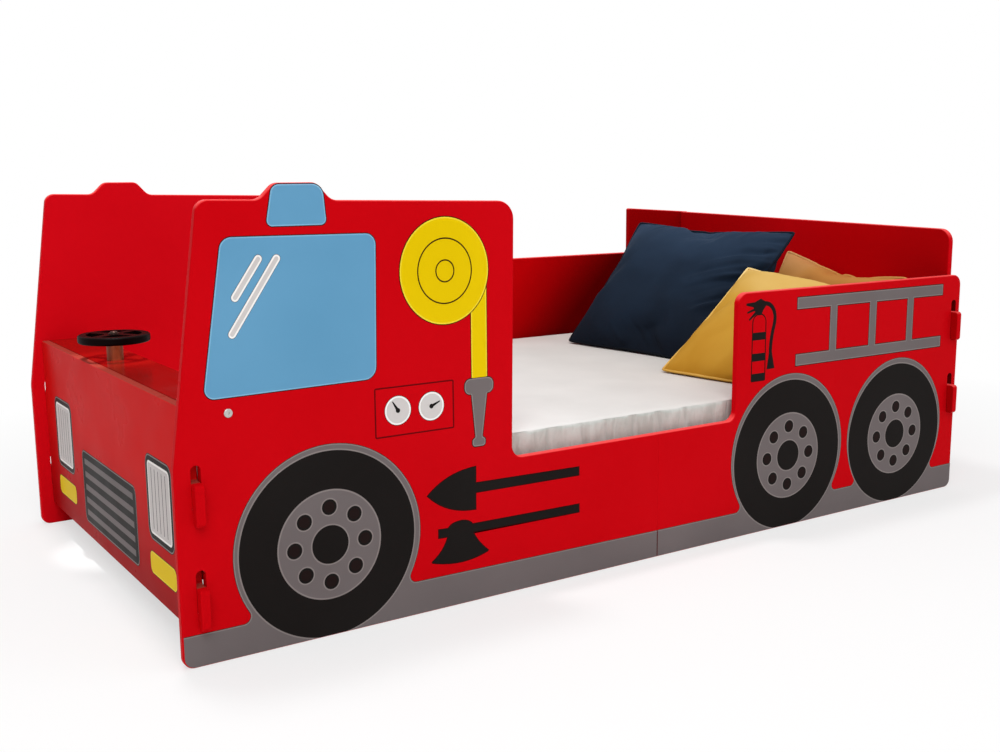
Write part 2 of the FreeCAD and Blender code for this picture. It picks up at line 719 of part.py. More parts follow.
# Steering wheel
write("wheel_spindle", wheel_spindle())
write("lower_washer", wheel_washer(SPINDLE_TOP))
write("steering_wheel", steering_wheel())
write("upper_washer", wheel_washer(UPPER_WASHER))
write("wheel_axle", wheel_axle())
write("nut_washer", wheel_washer(SHELF_UNDERSIDE - WASHER_THICKNESS))
write("axle_nut", axle_nut())

# Slatted base
halves = {"front": (FRONT, SEAM), "rear": (SEAM, REAR)}
screws = []
for half, ends in halves.items():
    batten = bearer(*ends)
    write("near_" + half + "_bearer", batten)
    write("far_" + half + "_bearer", mirrored(batten))
    screws += bearer_screws(*ends)
write("bearer_screws", *(screws + [mirrored(screw) for screw in screws]))
for number, x in enumerate(slat_places(), 1):
    write("slat_%02d" % number, slat(x))
write("slat_screws", *slat_screws())

# Bedding
write("mattress", mattress())
navy = cushion(NAVY_WIDTH, NAVY_HEIGHT, NAVY_THICKNESS, NAVY_FROM_REAR, NAVY_FROM_NEAR, NAVY_ABOVE,
               NAVY_YAW_ANGLE, NAVY_LEAN_ANGLE, NAVY_ROLL_ANGLE)
write("navy_cushion", navy)
mustard = cushion(MUSTARD_WIDTH, MUSTARD_HEIGHT, MUSTARD_THICKNESS,
                  MUSTARD_FROM_REAR, MUSTARD_FROM_NEAR, MUSTARD_ABOVE,
                  MUSTARD_YAW_ANGLE, MUSTARD_LEAN_ANGLE, MUSTARD_ROLL_ANGLE)
write("mustard_cushion", mustard)
gold = cushion(GOLD_WIDTH, GOLD_HEIGHT, GOLD_THICKNESS, GOLD_FROM_REAR, GOLD_FROM_NEAR, GOLD_ABOVE,
               GOLD_YAW_ANGLE, GOLD_LEAN_ANGLE, GOLD_ROLL_ANGLE)
write("gold_cushion", gold)
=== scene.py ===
import math
from collections import namedtuple

import bmesh
import bpy
import numpy as np
from mathutils import Matrix, Vector, noise
from mathutils.bvhtree import BVHTree
from mathutils.geometry import tessellate_polygon


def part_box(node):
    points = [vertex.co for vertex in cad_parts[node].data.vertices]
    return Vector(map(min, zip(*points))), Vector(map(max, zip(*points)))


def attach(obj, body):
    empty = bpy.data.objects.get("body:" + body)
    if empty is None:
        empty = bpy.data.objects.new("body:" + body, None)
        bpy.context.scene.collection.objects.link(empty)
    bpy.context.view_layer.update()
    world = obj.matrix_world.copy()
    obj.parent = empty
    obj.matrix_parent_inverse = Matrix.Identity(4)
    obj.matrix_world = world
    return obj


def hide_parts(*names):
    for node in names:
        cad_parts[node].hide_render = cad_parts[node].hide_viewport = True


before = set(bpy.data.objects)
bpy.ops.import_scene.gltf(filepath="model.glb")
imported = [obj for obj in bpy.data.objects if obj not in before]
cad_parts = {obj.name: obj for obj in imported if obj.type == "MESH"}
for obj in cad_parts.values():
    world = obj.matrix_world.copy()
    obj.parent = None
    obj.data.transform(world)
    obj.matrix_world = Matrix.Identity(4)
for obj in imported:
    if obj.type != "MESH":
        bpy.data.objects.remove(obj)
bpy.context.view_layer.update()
scene = bpy.context.scene


# Side and end boards: 12 mm fibreboard cut to the outline of a fire engine, edges rounded over with a router.
# Each side is two halves that butt at an upright seam; the end boards hang in slots by their hooks.
# All of them are sprayed with satin red lacquer, with light and shade painted into its colour: a painted
# highlight on upper edges, painted shade inside the rear half and at the front board's foot, and lighter
# copies for the far cab side and the front board.
SATIN = (0.24, 0.34, 0.008)
FOOT_FADE = (0.05, 0.2)
REAR_FADE = (-0.05, 0.25)
INSIDE_FADE = (-0.3, -0.2)
HIGH_FADE = (0.405, 0.425)
HIGHLIGHT_FADE = (0.3, 0.8)
HOOK_FADE = (0.3705, 0.3715)
Inside = namedtuple("Inside", "direction span tones high_tone")


def srgb(red, green, blue):
    """A colour as it is seen on a screen, 0 to 255, as the linear values that a shader takes."""
    def linear(value):
        share = value / 255
        return share / 12.92 if share <= 0.04045 else ((share + 0.055) / 1.055) ** 2.4
    return linear(red), linear(green), linear(blue), 1.0


def feed(node, inputs):
    """Links or sets the node's inputs, given by name or number."""
    for name, source in inputs.items():
        if isinstance(source, bpy.types.NodeSocket):
            node.id_data.links.new(source, node.inputs[name])
        else:
            node.inputs[name].default_value = source


def added(beside, kind, inputs, output=0, **settings):
    """One output of a new node with those settings and inputs, in the tree that beside belongs to."""
    node = beside.id_data.nodes.new(kind)
    for name, value in settings.items():
        setattr(node, name, value)
    feed(node, inputs)
    return node.outputs[output]


def new_finish(name):
    """A new material, with its shader and the place on the piece."""
    material = bpy.data.materials.new(name)
    material.use_nodes = True
    shader = material.node_tree.nodes["Principled BSDF"]
    return material, shader, added(shader, "ShaderNodeTexCoord", {}, "Object")


def cloudiness(place, scale, detail=3.0, stretch=(1.0, 1.0, 1.0), distortion=0.0):
    """Smooth noise of that many waves to the metre, drawn out along the axes by stretch."""
    drawn_out = added(place, "ShaderNodeMapping", {"Vector": place, "Scale": stretch})
    return added(place, "ShaderNodeTexNoise", {"Vector": drawn_out, "Scale": scale, "Detail": detail,
                                               "Distortion": distortion}, "Fac")


def shade_between(share, *stops):
    """Colour that runs through the stops (share, colour)."""
    colour = added(share, "ShaderNodeValToRGB", {"Fac": share})
    band = colour.node.color_ramp
    while len(band.elements) < len(stops):
        band.elements.new(0.5)
    for element, (position, tone) in zip(band.elements, stops):
        element.position = position
        element.color = tone
    return colour


def spread_to(share, low, high, start=0.3, end=0.7):
    """The share, between start and end, as a number between low and high."""
    return added(share, "ShaderNodeMapRange", {"Value": share, "From Min": start, "From Max": end,
                                               "To Min": low, "To Max": high})


def relief(shader, height, depth, strength):
    """Fine relief, depth in metres, added to what the shader already has."""
    shape = {"Height": height, "Distance": depth, "Strength": strength}
    if shader.inputs["Normal"].is_linked:
        shape["Normal"] = shader.inputs["Normal"].links[0].from_socket
    feed(shader, {"Normal": added(shader, "ShaderNodeBump", shape)})


def blended(share, first, last):
    """The first colour where the share is 0, the last where it is 1. A colour is a socket or a value."""
    return added(share, "ShaderNodeMix", {"Factor": share, 6: first, 7: last}, 2, data_type="RGBA")


def joined(operation, *shares):
    """The shares multiplied or added together, or the greatest of them."""
    result = shares[0]
    for share in shares[1:]:
        result = added(share, "ShaderNodeMath", {0: result, 1: share}, operation=operation)
    return result


def parts_of(vector):
    return added(vector, "ShaderNodeSeparateXYZ", {"Vector": vector}).node.outputs


def along(vector, direction):
    """The vector's length along a direction, which is a vector or another output."""
    return added(vector, "ShaderNodeVectorMath", {0: vector, 1: direction}, "Value", operation="DOT_PRODUCT")


def lacquer(name, tone, lighter, low_gloss, high_gloss, shine, edge=None, inside=None, foot=None, proud=None):
    """Sprayed lacquer: faint clouds of colour, uneven gloss and the dimples of a spray gun.
    Upward edges take a painted highlight, and inner faces of the rear half take painted shade whose tones
    follow one direction. A foot takes painted shade towards the floor, and hooks that stand proud of the
    sides have a tone of their own."""
    material, shader, place = new_finish(name)
    colour = shade_between(cloudiness(place, 5.0), (0.3, tone), (0.72, lighter))
    axes = parts_of(place)
    # Painted shade: the colour darkens towards the floor.
    if foot:
        colour = blended(spread_to(axes["Z"], 1.0, 0.0, *FOOT_FADE), colour, foot)
    if edge:
        turned = added(place, "ShaderNodeTexCoord", {}, "Normal")
        # Painted shade: inner faces of the rear half take tones that run along one direction, darker where
        # shade falls, and another tone above the high fade.
        rear = spread_to(axes["X"], 0.0, 1.0, *REAR_FADE)
        within = spread_to(along(place, turned), 1.0, 0.0, *INSIDE_FADE)
        share = spread_to(along(place, inside.direction), 0.0, 1.0, *inside.span)
        shade = shade_between(share, *inside.tones)
        if inside.high_tone:
            shade = blended(spread_to(axes["Z"], 0.0, 1.0, *HIGH_FADE), shade, inside.high_tone)
        colour = blended(joined("MULTIPLY", rear, within), colour, shade)
        # Painted highlight: faces that turn upwards, the rounded upper edges, take the edge tone.
        upward = spread_to(parts_of(turned)["Z"], 0.0, 1.0, *HIGHLIGHT_FADE)
        colour = blended(upward, colour, edge)
    if proud:
        for way in (1, -1):
            hooks = spread_to(axes["Y"], 0.0, 1.0, *(way * reach for reach in HOOK_FADE))
            colour = blended(hooks, colour, proud)
    haze = cloudiness(place, 16.0, 4.0)
    feed(shader, {"Base Color": colour, "Roughness": spread_to(haze, low_gloss, high_gloss),
                  "Specular IOR Level": shine})
    relief(shader, cloudiness(place, 420.0, 1.0), 0.00006, 0.5)
    return material


def dress(material, *names):
    for name in names:
        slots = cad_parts[name].data.materials
        slots.clear()
        slots.append(material)


red, bright_red = srgb(197, 5, 15), srgb(202, 7, 18)
# Pale red for the upper edges: a painted highlight.
painted_edge_highlight = srgb(240, 78, 78)
# Painted shade on inner faces of the rear half: the sides darken towards the cushions, the rear board towards
# both of its ends.
side_painted_shade = Inside((1, 0, -1), (-0.12, 0.12),
                     ((0.0, srgb(200, 3, 9)), (0.46, srgb(172, 2, 6)), (0.7, srgb(142, 2, 4)),
                      (1.0, srgb(100, 1, 2))), srgb(158, 2, 5))
end_painted_shade = Inside((0, -1, 0), (-0.35, 0.35),
                    ((0.0, srgb(168, 2, 7)), (0.26, srgb(178, 3, 8)), (0.46, srgb(197, 5, 14)),
                     (0.62, srgb(190, 3, 10)), (0.8, srgb(183, 3, 9)), (1.0, srgb(166, 3, 8))), None)
dress(lacquer("side_lacquer", red, bright_red, *SATIN, painted_edge_highlight, side_painted_shade),
      "near_cab_side", "near_rear_side", "far_rear_side")
# The far cab side has a lighter copy of the red lacquer that stands in for light falling on it: painted
# light.
dress(lacquer("far_cab_painted_light", srgb(209, 8, 21), srgb(214, 11, 24), *SATIN, painted_edge_highlight, side_painted_shade),
      "far_cab_side")
# The front board's lacquer is a lighter copy of the red that stands in for the reflection it catches: painted
# reflection. It has painted shade towards the floor, a duller painted tone on its upward edges, and hooks in
# the plain red.
dress(lacquer("front_lacquer", srgb(208, 15, 16), srgb(211, 19, 20), 0.26, 0.36, 0.006, srgb(158, 60, 50),
              end_painted_shade, srgb(158, 8, 12), red), "front_panel")
dress(lacquer("rear_lacquer", red, bright_red, *SATIN, painted_edge_highlight, end_painted_shade), "rear_panel")


# Signs on the sides: flat shapes printed in opaque paint on the lacquer, each with a thin dark outline and a
# paler
# rim inside it: the painted shade and painted highlight of a routed groove round the shape.
# A sign is a stack of closed films, each a little higher than the one below. Both sides carry the same signs.
# They are laid out in millimetres from the front wheel's upright and from the floor.
SIDE_FACE = -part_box("near_rear_side")[0].y
SIGN_ORIGIN = -0.537
FIRST_LIFT, COAT = 0.1, 0.06
LINE_WIDTH, RIM_WIDTH = 1.1, 1.6
CORNER_STEPS = 7
PAINT_GLOSS = (0.29, 0.4, 0.015)
# The groove highlight paints are paler rims, a painted highlight; the line paint draws the dark outlines,
# painted shade.
PAINT_TONES = {
    "line": ((44, 12, 12), (50, 16, 15)), "grey": ((108, 100, 100), (116, 108, 108)),
    "grey_groove_highlight": ((134, 125, 123), (141, 132, 130)), "black": ((28, 25, 24), (32, 29, 28)),
    "white": ((240, 236, 232), (246, 243, 240)), "dial": ((200, 194, 192), (210, 205, 203)),
    "blue": ((96, 152, 188), (104, 160, 196)), "blue_groove_highlight": ((126, 176, 206), (132, 182, 210)),
    "yellow": ((226, 192, 5), (232, 198, 9)), "yellow_groove_highlight": ((240, 214, 52), (244, 220, 60)),
    "brown": ((33, 23, 22), (38, 27, 26)), "frame": ((96, 6, 10), (108, 10, 14))}
paints = {name: lacquer(f"{name}_paint", srgb(*tone), srgb(*lighter), *PAINT_GLOSS)
          for name, (tone, lighter) in PAINT_TONES.items()}


def side_face(way):
    """Gives the place of a sign's point on the near (-1) or the far (1) side, lifted off the board."""
    return lambda x, z, lift: Vector((SIGN_ORIGIN + x / 1000, way * (SIDE_FACE + lift / 1000), z / 1000))


BOTH_SIDES = (("near", side_face(-1)), ("far", side_face(1)))


def arc(x, z, radius, start, end, steps=12):
    """Points on an arc from one angle to another, in degrees."""
    turns = (math.radians(start + (end - start) * i / steps) for i in range(steps + 1))
    return [(x + radius * math.cos(t), z + radius * math.sin(t)) for t in turns]


def disc(x, z, radius, steps=72):
    return arc(x, z, radius, 0, 360, steps)[:-1]


def drawn_up(outline, z, stretch):
    """The outline with the part above that height stretched upwards."""
    return [(x, up if up < z else z + (up - z) * stretch) for x, up in outline]


def rounded(corners):
    """Outline through the corners (x, z, radius), each rounded by an arc."""
    points = []
    for i, (x, z, radius) in enumerate(corners):
        here = Vector((x, z))
        if radius == 0:
            points.append((x, z))
            continue
        back = (Vector(corners[i - 1][:2]) - here).normalized()
        ahead = (Vector(corners[(i + 1) % len(corners)][:2]) - here).normalized()
        half = back.angle(ahead) / 2
        centre = here + (back + ahead).normalized() * (radius / math.sin(half))
        first, last = (here + leg * (radius / math.tan(half)) - centre for leg in (back, ahead))
        swing = first.angle_signed(last)
        for k in range(CORNER_STEPS + 1):
            turn = math.atan2(first.y, first.x) - swing * k / CORNER_STEPS
            points.append((centre.x + radius * math.cos(turn), centre.y + radius * math.sin(turn)))
    return points


def oblong(left, right, low, high, radius=0):
    return rounded([(left, low, radius), (right, low, radius), (right, high, radius), (left, high, radius)])


def grown(outline, distance):
    """The outline moved outwards by that distance, or inwards where it is negative."""
    points = [Vector(p) for p in outline]
    area = sum(a.x * b.y - b.x * a.y for a, b in zip(points, points[1:] + points[:1]))
    side = distance if area > 0 else -distance
    moved = []
    for i, here in enumerate(points):
        first = (here - points[i - 1]).normalized()
        last = (points[(i + 1) % len(points)] - here).normalized()
        one, two = Vector((first.y, -first.x)), Vector((last.y, -last.x))
        moved.append(tuple(here + (one + two) * (side / max(0.35, 1 + one.dot(two)))))
    return moved


def stroke(points, width):
    """Outline of a line of that width through the points, with round ends."""
    path = [Vector(p) for p in points]
    left, right = [], []
    for i, here in enumerate(path):
        run = (path[min(i + 1, len(path) - 1)] - path[max(i - 1, 0)]).normalized()
        across = Vector((-run.y, run.x)) * (width / 2)
        left.append(tuple(here + across))
        right.append(tuple(here - across))

    def cap(end, run):
        start = math.degrees(math.atan2(run.y, run.x))
        return arc(end.x, end.y, width / 2, start + 90, start - 90, 8)[1:-1]
    return left + cap(path[-1], path[-1] - path[-2]) + right[::-1] + cap(path[0], path[0] - path[1])


def bow(start, pull, end, steps=10):
    """Points on a smooth bow from start to end, drawn towards pull."""
    shares = (i / steps for i in range(steps + 1))
    return [tuple((1 - s) ** 2 * a + 2 * s * (1 - s) * b + s * s * c for a, b, c in zip(start, pull, end))
            for s in shares]


def film(mesh, outlines, lift, to_face, index):
    """Adds a closed film inside the outlines, from the face up to lift, in millimetres."""
    loops = [[Vector((x, z, 0)) for x, z in outline] for outline in outlines]
    under, over = [], []
    for outline in outlines:
        under.append([mesh.verts.new(to_face(x, z, 0)) for x, z in outline])
        over.append([mesh.verts.new(to_face(x, z, lift)) for x, z in outline])
    flat_under, flat_over = sum(under, []), sum(over, [])
    faces = []
    for corner in tessellate_polygon(loops):
        if len(set(corner)) == 3:
            faces.append(mesh.faces.new([flat_over[i] for i in corner]))
            faces.append(mesh.faces.new([flat_under[i] for i in reversed(corner)]))
    for low, high in zip(under, over):
        for i in range(len(low)):
            faces.append(mesh.faces.new((low[i - 1], low[i], high[i], high[i - 1])))
    for face in faces:
        face.material_index = index
    bmesh.ops.recalc_face_normals(mesh, faces=faces)


def sign(name, coats, faces=BOTH_SIDES):
    """A painted sign on each face. A coat is (lift, paint, outline), and any holes' outlines after it."""
    used = list(dict.fromkeys(paint for _, paint, *_ in coats))
    for side, to_face in faces:
        build = bmesh.new()
        for lift, paint, *outlines in coats:
            film(build, outlines, lift, to_face, used.index(paint))
        mesh = bpy.data.meshes.new(f"{side}_{name}")
        build.to_mesh(mesh)
        build.free()
        for paint in used:
            mesh.materials.append(paints[paint])
        made = bpy.data.objects.new(f"{side}_{name}", mesh)
        scene.collection.objects.link(made)
        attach(made, "bed")


def outlined(shape, fill, rim, lift=FIRST_LIFT):
    """Coats of a plain shape: dark outline of painted shade, paler rim of painted highlight and the fill
    inside it.
    """
    return [(lift, "line", grown(shape, LINE_WIDTH)), (lift + COAT, rim, shape),
            (lift + 2 * COAT, fill, grown(shape, -RIM_WIDTH))]


# Wheels and skirt: a grey skirt along the floor runs round three wheel arches and stops at the seam.
# Each wheel is a black tyre, a grey rim with a ring of eight holes, and a black hub.
# All of it is flat paint, and the holes are small discs of film.
Wheel = namedtuple("Wheel", "x height radius crown arch_x arch_height arch_radius skirt_before skirt_after")
WHEELS = (Wheel(-0.2, 121.6, 121.8, 1.0, 0.8, 121.8, 129.8, 41.2, 46.4),
          Wheel(830.3, 121.2, 123.0, 1.028, 831.0, 124.8, 129.6, 41.2, 43.6),
          Wheel(1101.9, 122.7, 122.2, 1.032, 1102.6, 128.4, 126.3, 43.6, 44.0))
BOARD_FOOT = 1.4
BOARD_ENDS = (-194.6, 1268.6)
FOOT_CORNER = 13
RIM_RADIUS = 72.0
HUB_RADIUS = 25.2
HOLE_RING = 49.0
HOLE_RADIUS = 10.2
HOLE_LIFT = 0.24
HOLES = 8
HIGHLIGHT_BORDER, RIM_BORDER = 1.8, 2.0
ROUND_STEPS = 120
SKIRT_BEND = 9.5
SKIRT_AT_SEAM = 42.2
SEAM_X = (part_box("near_rear_side")[0].x - SIGN_ORIGIN) * 1000


def wheel_arch(wheel, border):
    """The skirt's upper edge where it climbs over a wheel, from left to right, with a border round it."""
    bends = []
    for way, skirt in ((-1, wheel.skirt_before), (1, wheel.skirt_after)):
        drop = wheel.arch_height - skirt - SKIRT_BEND
        reach = math.sqrt((wheel.arch_radius + SKIRT_BEND) ** 2 - drop ** 2)
        bends.append((wheel.arch_x + way * reach, skirt + SKIRT_BEND, math.degrees(math.atan2(drop, reach))))
    (left, low_left, tilt_left), (right, low_right, tilt_right) = bends
    climb = arc(wheel.arch_x, wheel.arch_height, wheel.arch_radius + border, 180 + tilt_left, -tilt_right, 60)
    return (arc(left, low_left, SKIRT_BEND - border, -90, tilt_left, 6)
            + drawn_up(climb, wheel.arch_height, wheel.crown)
            + arc(right, low_right, SKIRT_BEND - border, 180 - tilt_right, 270, 6))


wheel_coats = []
corner_z = BOARD_FOOT + FOOT_CORNER
for border, seam_gap, lift, paint in ((0.7, 0.15, 0.1, "line"), (0.0, 0.9, 0.16, "grey_groove_highlight"),
                                      (-1.5, 0.9, 0.2, "grey")):
    first, second, third = (wheel_arch(wheel, border) for wheel in WHEELS)
    seam_top = SKIRT_AT_SEAM + border
    front_skirt = ([(BOARD_ENDS[0], WHEELS[0].skirt_before + border)] + first
                   + [(SEAM_X - seam_gap, seam_top), (SEAM_X - seam_gap, BOARD_FOOT)]
                   + arc(BOARD_ENDS[0] + FOOT_CORNER, corner_z, FOOT_CORNER, -90, -180))
    rear_skirt = ([(SEAM_X + seam_gap, seam_top)] + second + third
                  + [(BOARD_ENDS[1], WHEELS[2].skirt_after + border)]
                  + arc(BOARD_ENDS[1] - FOOT_CORNER, corner_z, FOOT_CORNER, 0, -90)
                  + [(SEAM_X + seam_gap, BOARD_FOOT)])
    wheel_coats += [(lift, paint, front_skirt), (lift, paint, rear_skirt)]
# Pale grey rings round the tyre, the rim and the hub are painted highlight along grooves.
for wheel in WHEELS:
    tyre = wheel.radius
    for radius, lift, paint in ((tyre + HIGHLIGHT_BORDER, 0.26, "grey_groove_highlight"), (tyre, 0.32, "black"),
                                (RIM_RADIUS, 0.38, "grey_groove_highlight"), (RIM_RADIUS - RIM_BORDER, 0.44, "grey"),
                                (HUB_RADIUS + HIGHLIGHT_BORDER, 0.5, "grey_groove_highlight"), (HUB_RADIUS, 0.56, "black")):
        round_coat = disc(wheel.x, wheel.height, radius, ROUND_STEPS)
        if radius > RIM_RADIUS:
            above_foot = [(x, max(z, BOARD_FOOT)) for x, z in round_coat]
            round_coat = drawn_up(above_foot, wheel.height, wheel.crown)
        wheel_coats.append((lift, paint, round_coat))
sign("wheels_and_skirt", wheel_coats)


def nodes_tree(name, **sizes):
    """A Geometry Nodes tree whose inputs have those names and kinds of socket, and what it is given."""
    tree = bpy.data.node_groups.new(name, "GeometryNodeTree")
    for size, kind in {"Geometry": "Geometry", **sizes}.items():
        tree.interface.new_socket(size, in_out="INPUT", socket_type="NodeSocket" + kind)
    tree.interface.new_socket("Geometry", in_out="OUTPUT", socket_type="NodeSocketGeometry")
    return tree, tree.nodes.new("NodeGroupInput").outputs


def step(tree, kind, inputs):
    return added(tree, "GeometryNode" + kind, inputs)


def ended(tree, geometry, finish):
    """Ends the tree with the geometry made real, in that finish."""
    plain = step(tree, "RealizeInstances", {"Geometry": geometry})
    finished = step(tree, "SetMaterial", {"Geometry": plain, "Material": finish})
    feed(tree.nodes.new("NodeGroupOutput"), {"Geometry": finished})


def realised(name, seed, tree, body, **sizes):
    """The plain mesh that the tree makes from the seed mesh, as a piece that rides on the body."""
    made = bpy.data.objects.new(name, seed)
    scene.collection.objects.link(made)
    modifier = made.modifiers.new("pattern", "NODES")
    modifier.node_group = tree
    for item in tree.interface.items_tree:
        if item.item_type == "SOCKET" and item.in_out == "INPUT" and item.name in sizes:
            modifier[item.identifier] = sizes[item.name]
    mesh = bpy.data.meshes.new_from_object(made.evaluated_get(bpy.context.evaluated_depsgraph_get()))
    made.modifiers.clear()
    made.data = mesh
    mesh.name = name
    if body:
        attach(made, body)
    return made


holes_tree, given = nodes_tree("wheel_holes", Holes="Int", Ring="Float", Hole="Float", Film="Float",
                               Paint="Material")
upright = (math.pi / 2, 0, 0)
ring = step(holes_tree, "MeshCircle", {"Vertices": given["Holes"], "Radius": given["Ring"]})
ring = step(holes_tree, "Transform", {"Geometry": ring, "Rotation": upright})
rings = step(holes_tree, "InstanceOnPoints", {"Points": given["Geometry"], "Instance": ring})
spots = step(holes_tree, "RealizeInstances", {"Geometry": rings})
dot = step(holes_tree, "MeshCylinder", {"Vertices": 32, "Radius": given["Hole"], "Depth": given["Film"]})
dot = step(holes_tree, "Transform", {"Geometry": dot, "Rotation": upright})
ended(holes_tree, step(holes_tree, "InstanceOnPoints", {"Points": spots, "Instance": dot}), given["Paint"])
# Pale grey rims round the wheel holes are painted highlight.
for side, to_face in BOTH_SIDES:
    middles = bpy.data.meshes.new(f"{side}_wheel_middles")
    middles.from_pydata([to_face(wheel.x, wheel.height, HOLE_LIFT) for wheel in WHEELS], [], [])
    for part, border, depth, paint in (("rims", 1.7, 0.0005, "grey_groove_highlight"), ("edges", 0.0, 0.0006, "black"),
                                       ("bottoms", -3.0, 0.0007, "brown")):
        realised(f"{side}_wheel_hole_{part}", middles.copy(), holes_tree, "bed", Holes=HOLES,
                 Ring=HOLE_RING / 1000, Hole=(HOLE_RADIUS + border) / 1000, Film=depth, Paint=paints[paint])
    bpy.data.meshes.remove(middles)


# Cab window and beacon: a blue pane with two white glints of light, and a blue warning lamp on the roof.
# Both are printed flat on the board, the lamp on its bump.
pane = rounded([(-156, 324.6, 12), (71, 328, 16), (75, 511.6, 14), (-125.8, 513.2, 15)])
short_glint = [(-111.5, 442.5), (-81, 486.5)]
long_glint = [(-117, 399.5), (-58, 486)]
window_coats = outlined(pane, "blue", "blue_groove_highlight")
for glint in (short_glint, long_glint):
    for width, lift, paint in ((10.6, 0.3, "line"), (9.6, 0.36, "white"), (5.2, 0.42, "dial")):
        window_coats.append((lift, paint, stroke(glint, width)))
sign("cab_window", window_coats)
beacon = rounded([(-69.6, 524, 7), (9, 524, 7), (4.6, 573.2, 15), (-60.5, 573.2, 11)])
sign("beacon", outlined(beacon, "blue", "blue_groove_highlight"))


# Hose reel with its nozzle: a yellow drum seen end on, the hose hanging from it and a grey branch pipe.
# They are printed behind the cab window, and the drum is a little taller than it is wide.
REEL = (175.0, 459.4)
REEL_RISE = 1.045
REEL_LINE = 0.9


def reel_ring(radius):
    return [(x, REEL[1] + (z - REEL[1]) * REEL_RISE) for x, z in disc(*REEL, radius, ROUND_STEPS)]


strap = oblong(214.4, 238.8, 312, 452)
reel_coats = outlined(strap, "yellow", "yellow_groove_highlight")
reel_coats += [(0.3, "line", reel_ring(67.9)), (0.36, "yellow_groove_highlight", reel_ring(66.8)),
               (0.42, "yellow", reel_ring(65.0))]
for radius in (40.6, 13.6):
    reel_coats.append((0.46, "line", reel_ring(radius + REEL_LINE), reel_ring(radius - REEL_LINE)))
sign("hose_reel", reel_coats)
nozzle = rounded([(203, 312.8, 9), (203, 291.5, 9), (213.5, 291.5, 2), (219.5, 231.5, 3), (214.6, 229, 4),
                  (214.6, 219, 4.5), (235.2, 219, 4.5), (235.2, 229, 4), (230.3, 231.5, 3), (238.4, 291.5, 2),
                  (248.6, 291.5, 9), (248.6, 312.8, 9)])
sign("nozzle", outlined(nozzle, "grey", "grey_groove_highlight", 0.2))


# Gauge panel: two pale dials with black needles inside a thin frame.
# It is printed flat on the board, below the hose reel.
DIAL_HEIGHT = 282.8
DIALS = ((101.2, (93.3, 295.3)), (151.2, (164.3, 288.4)))
NEEDLE_HALF_WIDTH = 2.2
panel = oblong(68.4, 185.0, 250.0, 314.0, 1.5)
gauge_coats = [(0.1, "frame", grown(panel, 1.0), grown(panel, -1.0))]
for x, needle in DIALS:
    middle = Vector((x, DIAL_HEIGHT))
    tip = Vector(needle)
    point = tip - middle
    across = Vector((-point.y, point.x)).normalized() * NEEDLE_HALF_WIDTH
    blade = [tuple(middle + across), tuple(middle - across), tuple(tip - across / 3), tuple(tip + across / 3)]
    gauge_coats += [(0.1, "line", disc(*middle, 19.8)), (0.16, "white", disc(*middle, 19)),
                    (0.22, "dial", disc(*middle, 16.6)), (0.34, "black", disc(*middle, 3.2, 32)),
                    (0.3, "black", blade)]
sign("gauges", gauge_coats)


# Shovel and axe: two black tools that hang one above the other below the entry.
# They are printed flat, with smooth bows for the blades and straight handles.
shovel = (bow((219, 191), (172, 189), (143, 161.5)) + bow((143, 161.5), (172, 132), (218.4, 131.5))[1:]
          + [(218.5, 155), (395.6, 152.8), (395.6, 164.6), (218.7, 168)])
sign("shovel", outlined(shovel, "black", "black"))
axe = ([(159.2, 112), (172.5, 111.4)] + bow((174, 110.8), (178, 118.5), (194, 118.9), 6)
       + bow((196, 118.9), (208, 118), (213, 111), 6) + [(396, 109), (396, 97.4), (214.5, 100)]
       + bow((214, 99.6), (219, 86), (237.8, 69.4)) + bow((237, 68.4), (196, 54), (149, 67.8), 14)
       + bow((148.6, 69), (166, 80), (173.2, 99)) + [(172.5, 100.2), (159.2, 100.6)])
sign("axe", outlined(axe, "black", "black"))


# Ladder and extinguisher on the guard: a grey ladder of three rungs, and a red bottle with black bands,
# a head with two levers and a hose that ends in a horn. Both are printed flat.
LADDER_ENDS = (841.4, 1218.0)
LOW_RAIL, HIGH_RAIL = (269.8, 288.4), (363.2, 382.0)
RUNGS = ((921.4, 937.8), (1020.6, 1037.8), (1120.8, 1137.0))
BANDS = ((319.8, 332.0), (285.8, 298.4), (253.8, 265.8))
left, right = LADDER_ENDS
low, low_top = LOW_RAIL
high_foot, high = HIGH_RAIL
first, last = RUNGS[0][0], RUNGS[-1][1]
ladder = [(left, low), (right, low), (right, low_top), (last, low_top), (last, high_foot),
          (right, high_foot), (right, high), (left, high), (left, high_foot), (first, high_foot),
          (first, low_top), (left, low_top)]
gaps = [oblong(one[1], two[0], low_top, high_foot) for one, two in zip(RUNGS, RUNGS[1:])]
ladder_coats = []
for lift, paint, step_in in ((0.1, "line", -1.3), (0.16, "grey_groove_highlight", 0.0), (0.22, "grey", 1.6)):
    ladder_coats.append((lift, paint, grown(ladder, -step_in), *[grown(gap, step_in) for gap in gaps]))
sign("ladder", ladder_coats)
bottle = rounded([(740.2, 253.6, 1.5), (770.8, 253.6, 1.5), (770, 361.5, 14), (740.2, 361.5, 14)])
head = [(750, 359.5), (759, 359.5), (763, 367), (769, 374), (768.5, 380), (757, 386), (744, 381),
        (725.5, 380), (725, 376.6), (741, 373), (742, 371), (727.5, 366.4), (728, 363.6), (743.5, 367),
        (745, 365.6), (731.5, 354.4), (733, 352), (748, 361.5)]
bends = (((761, 377.5), (777.5, 379.5), (786, 367)), ((786, 367), (792.5, 356), (788.5, 342)),
         ((788.5, 342), (782, 321), (781.7, 302)))
hose = [point for bend in bends for point in bow(*bend, 8)[:-1]] + [(781.7, 302)]
horn = [(778.6, 303), (784.6, 303), (785.6, 296.5), (792, 271), (774.4, 270.7), (778.6, 297)]
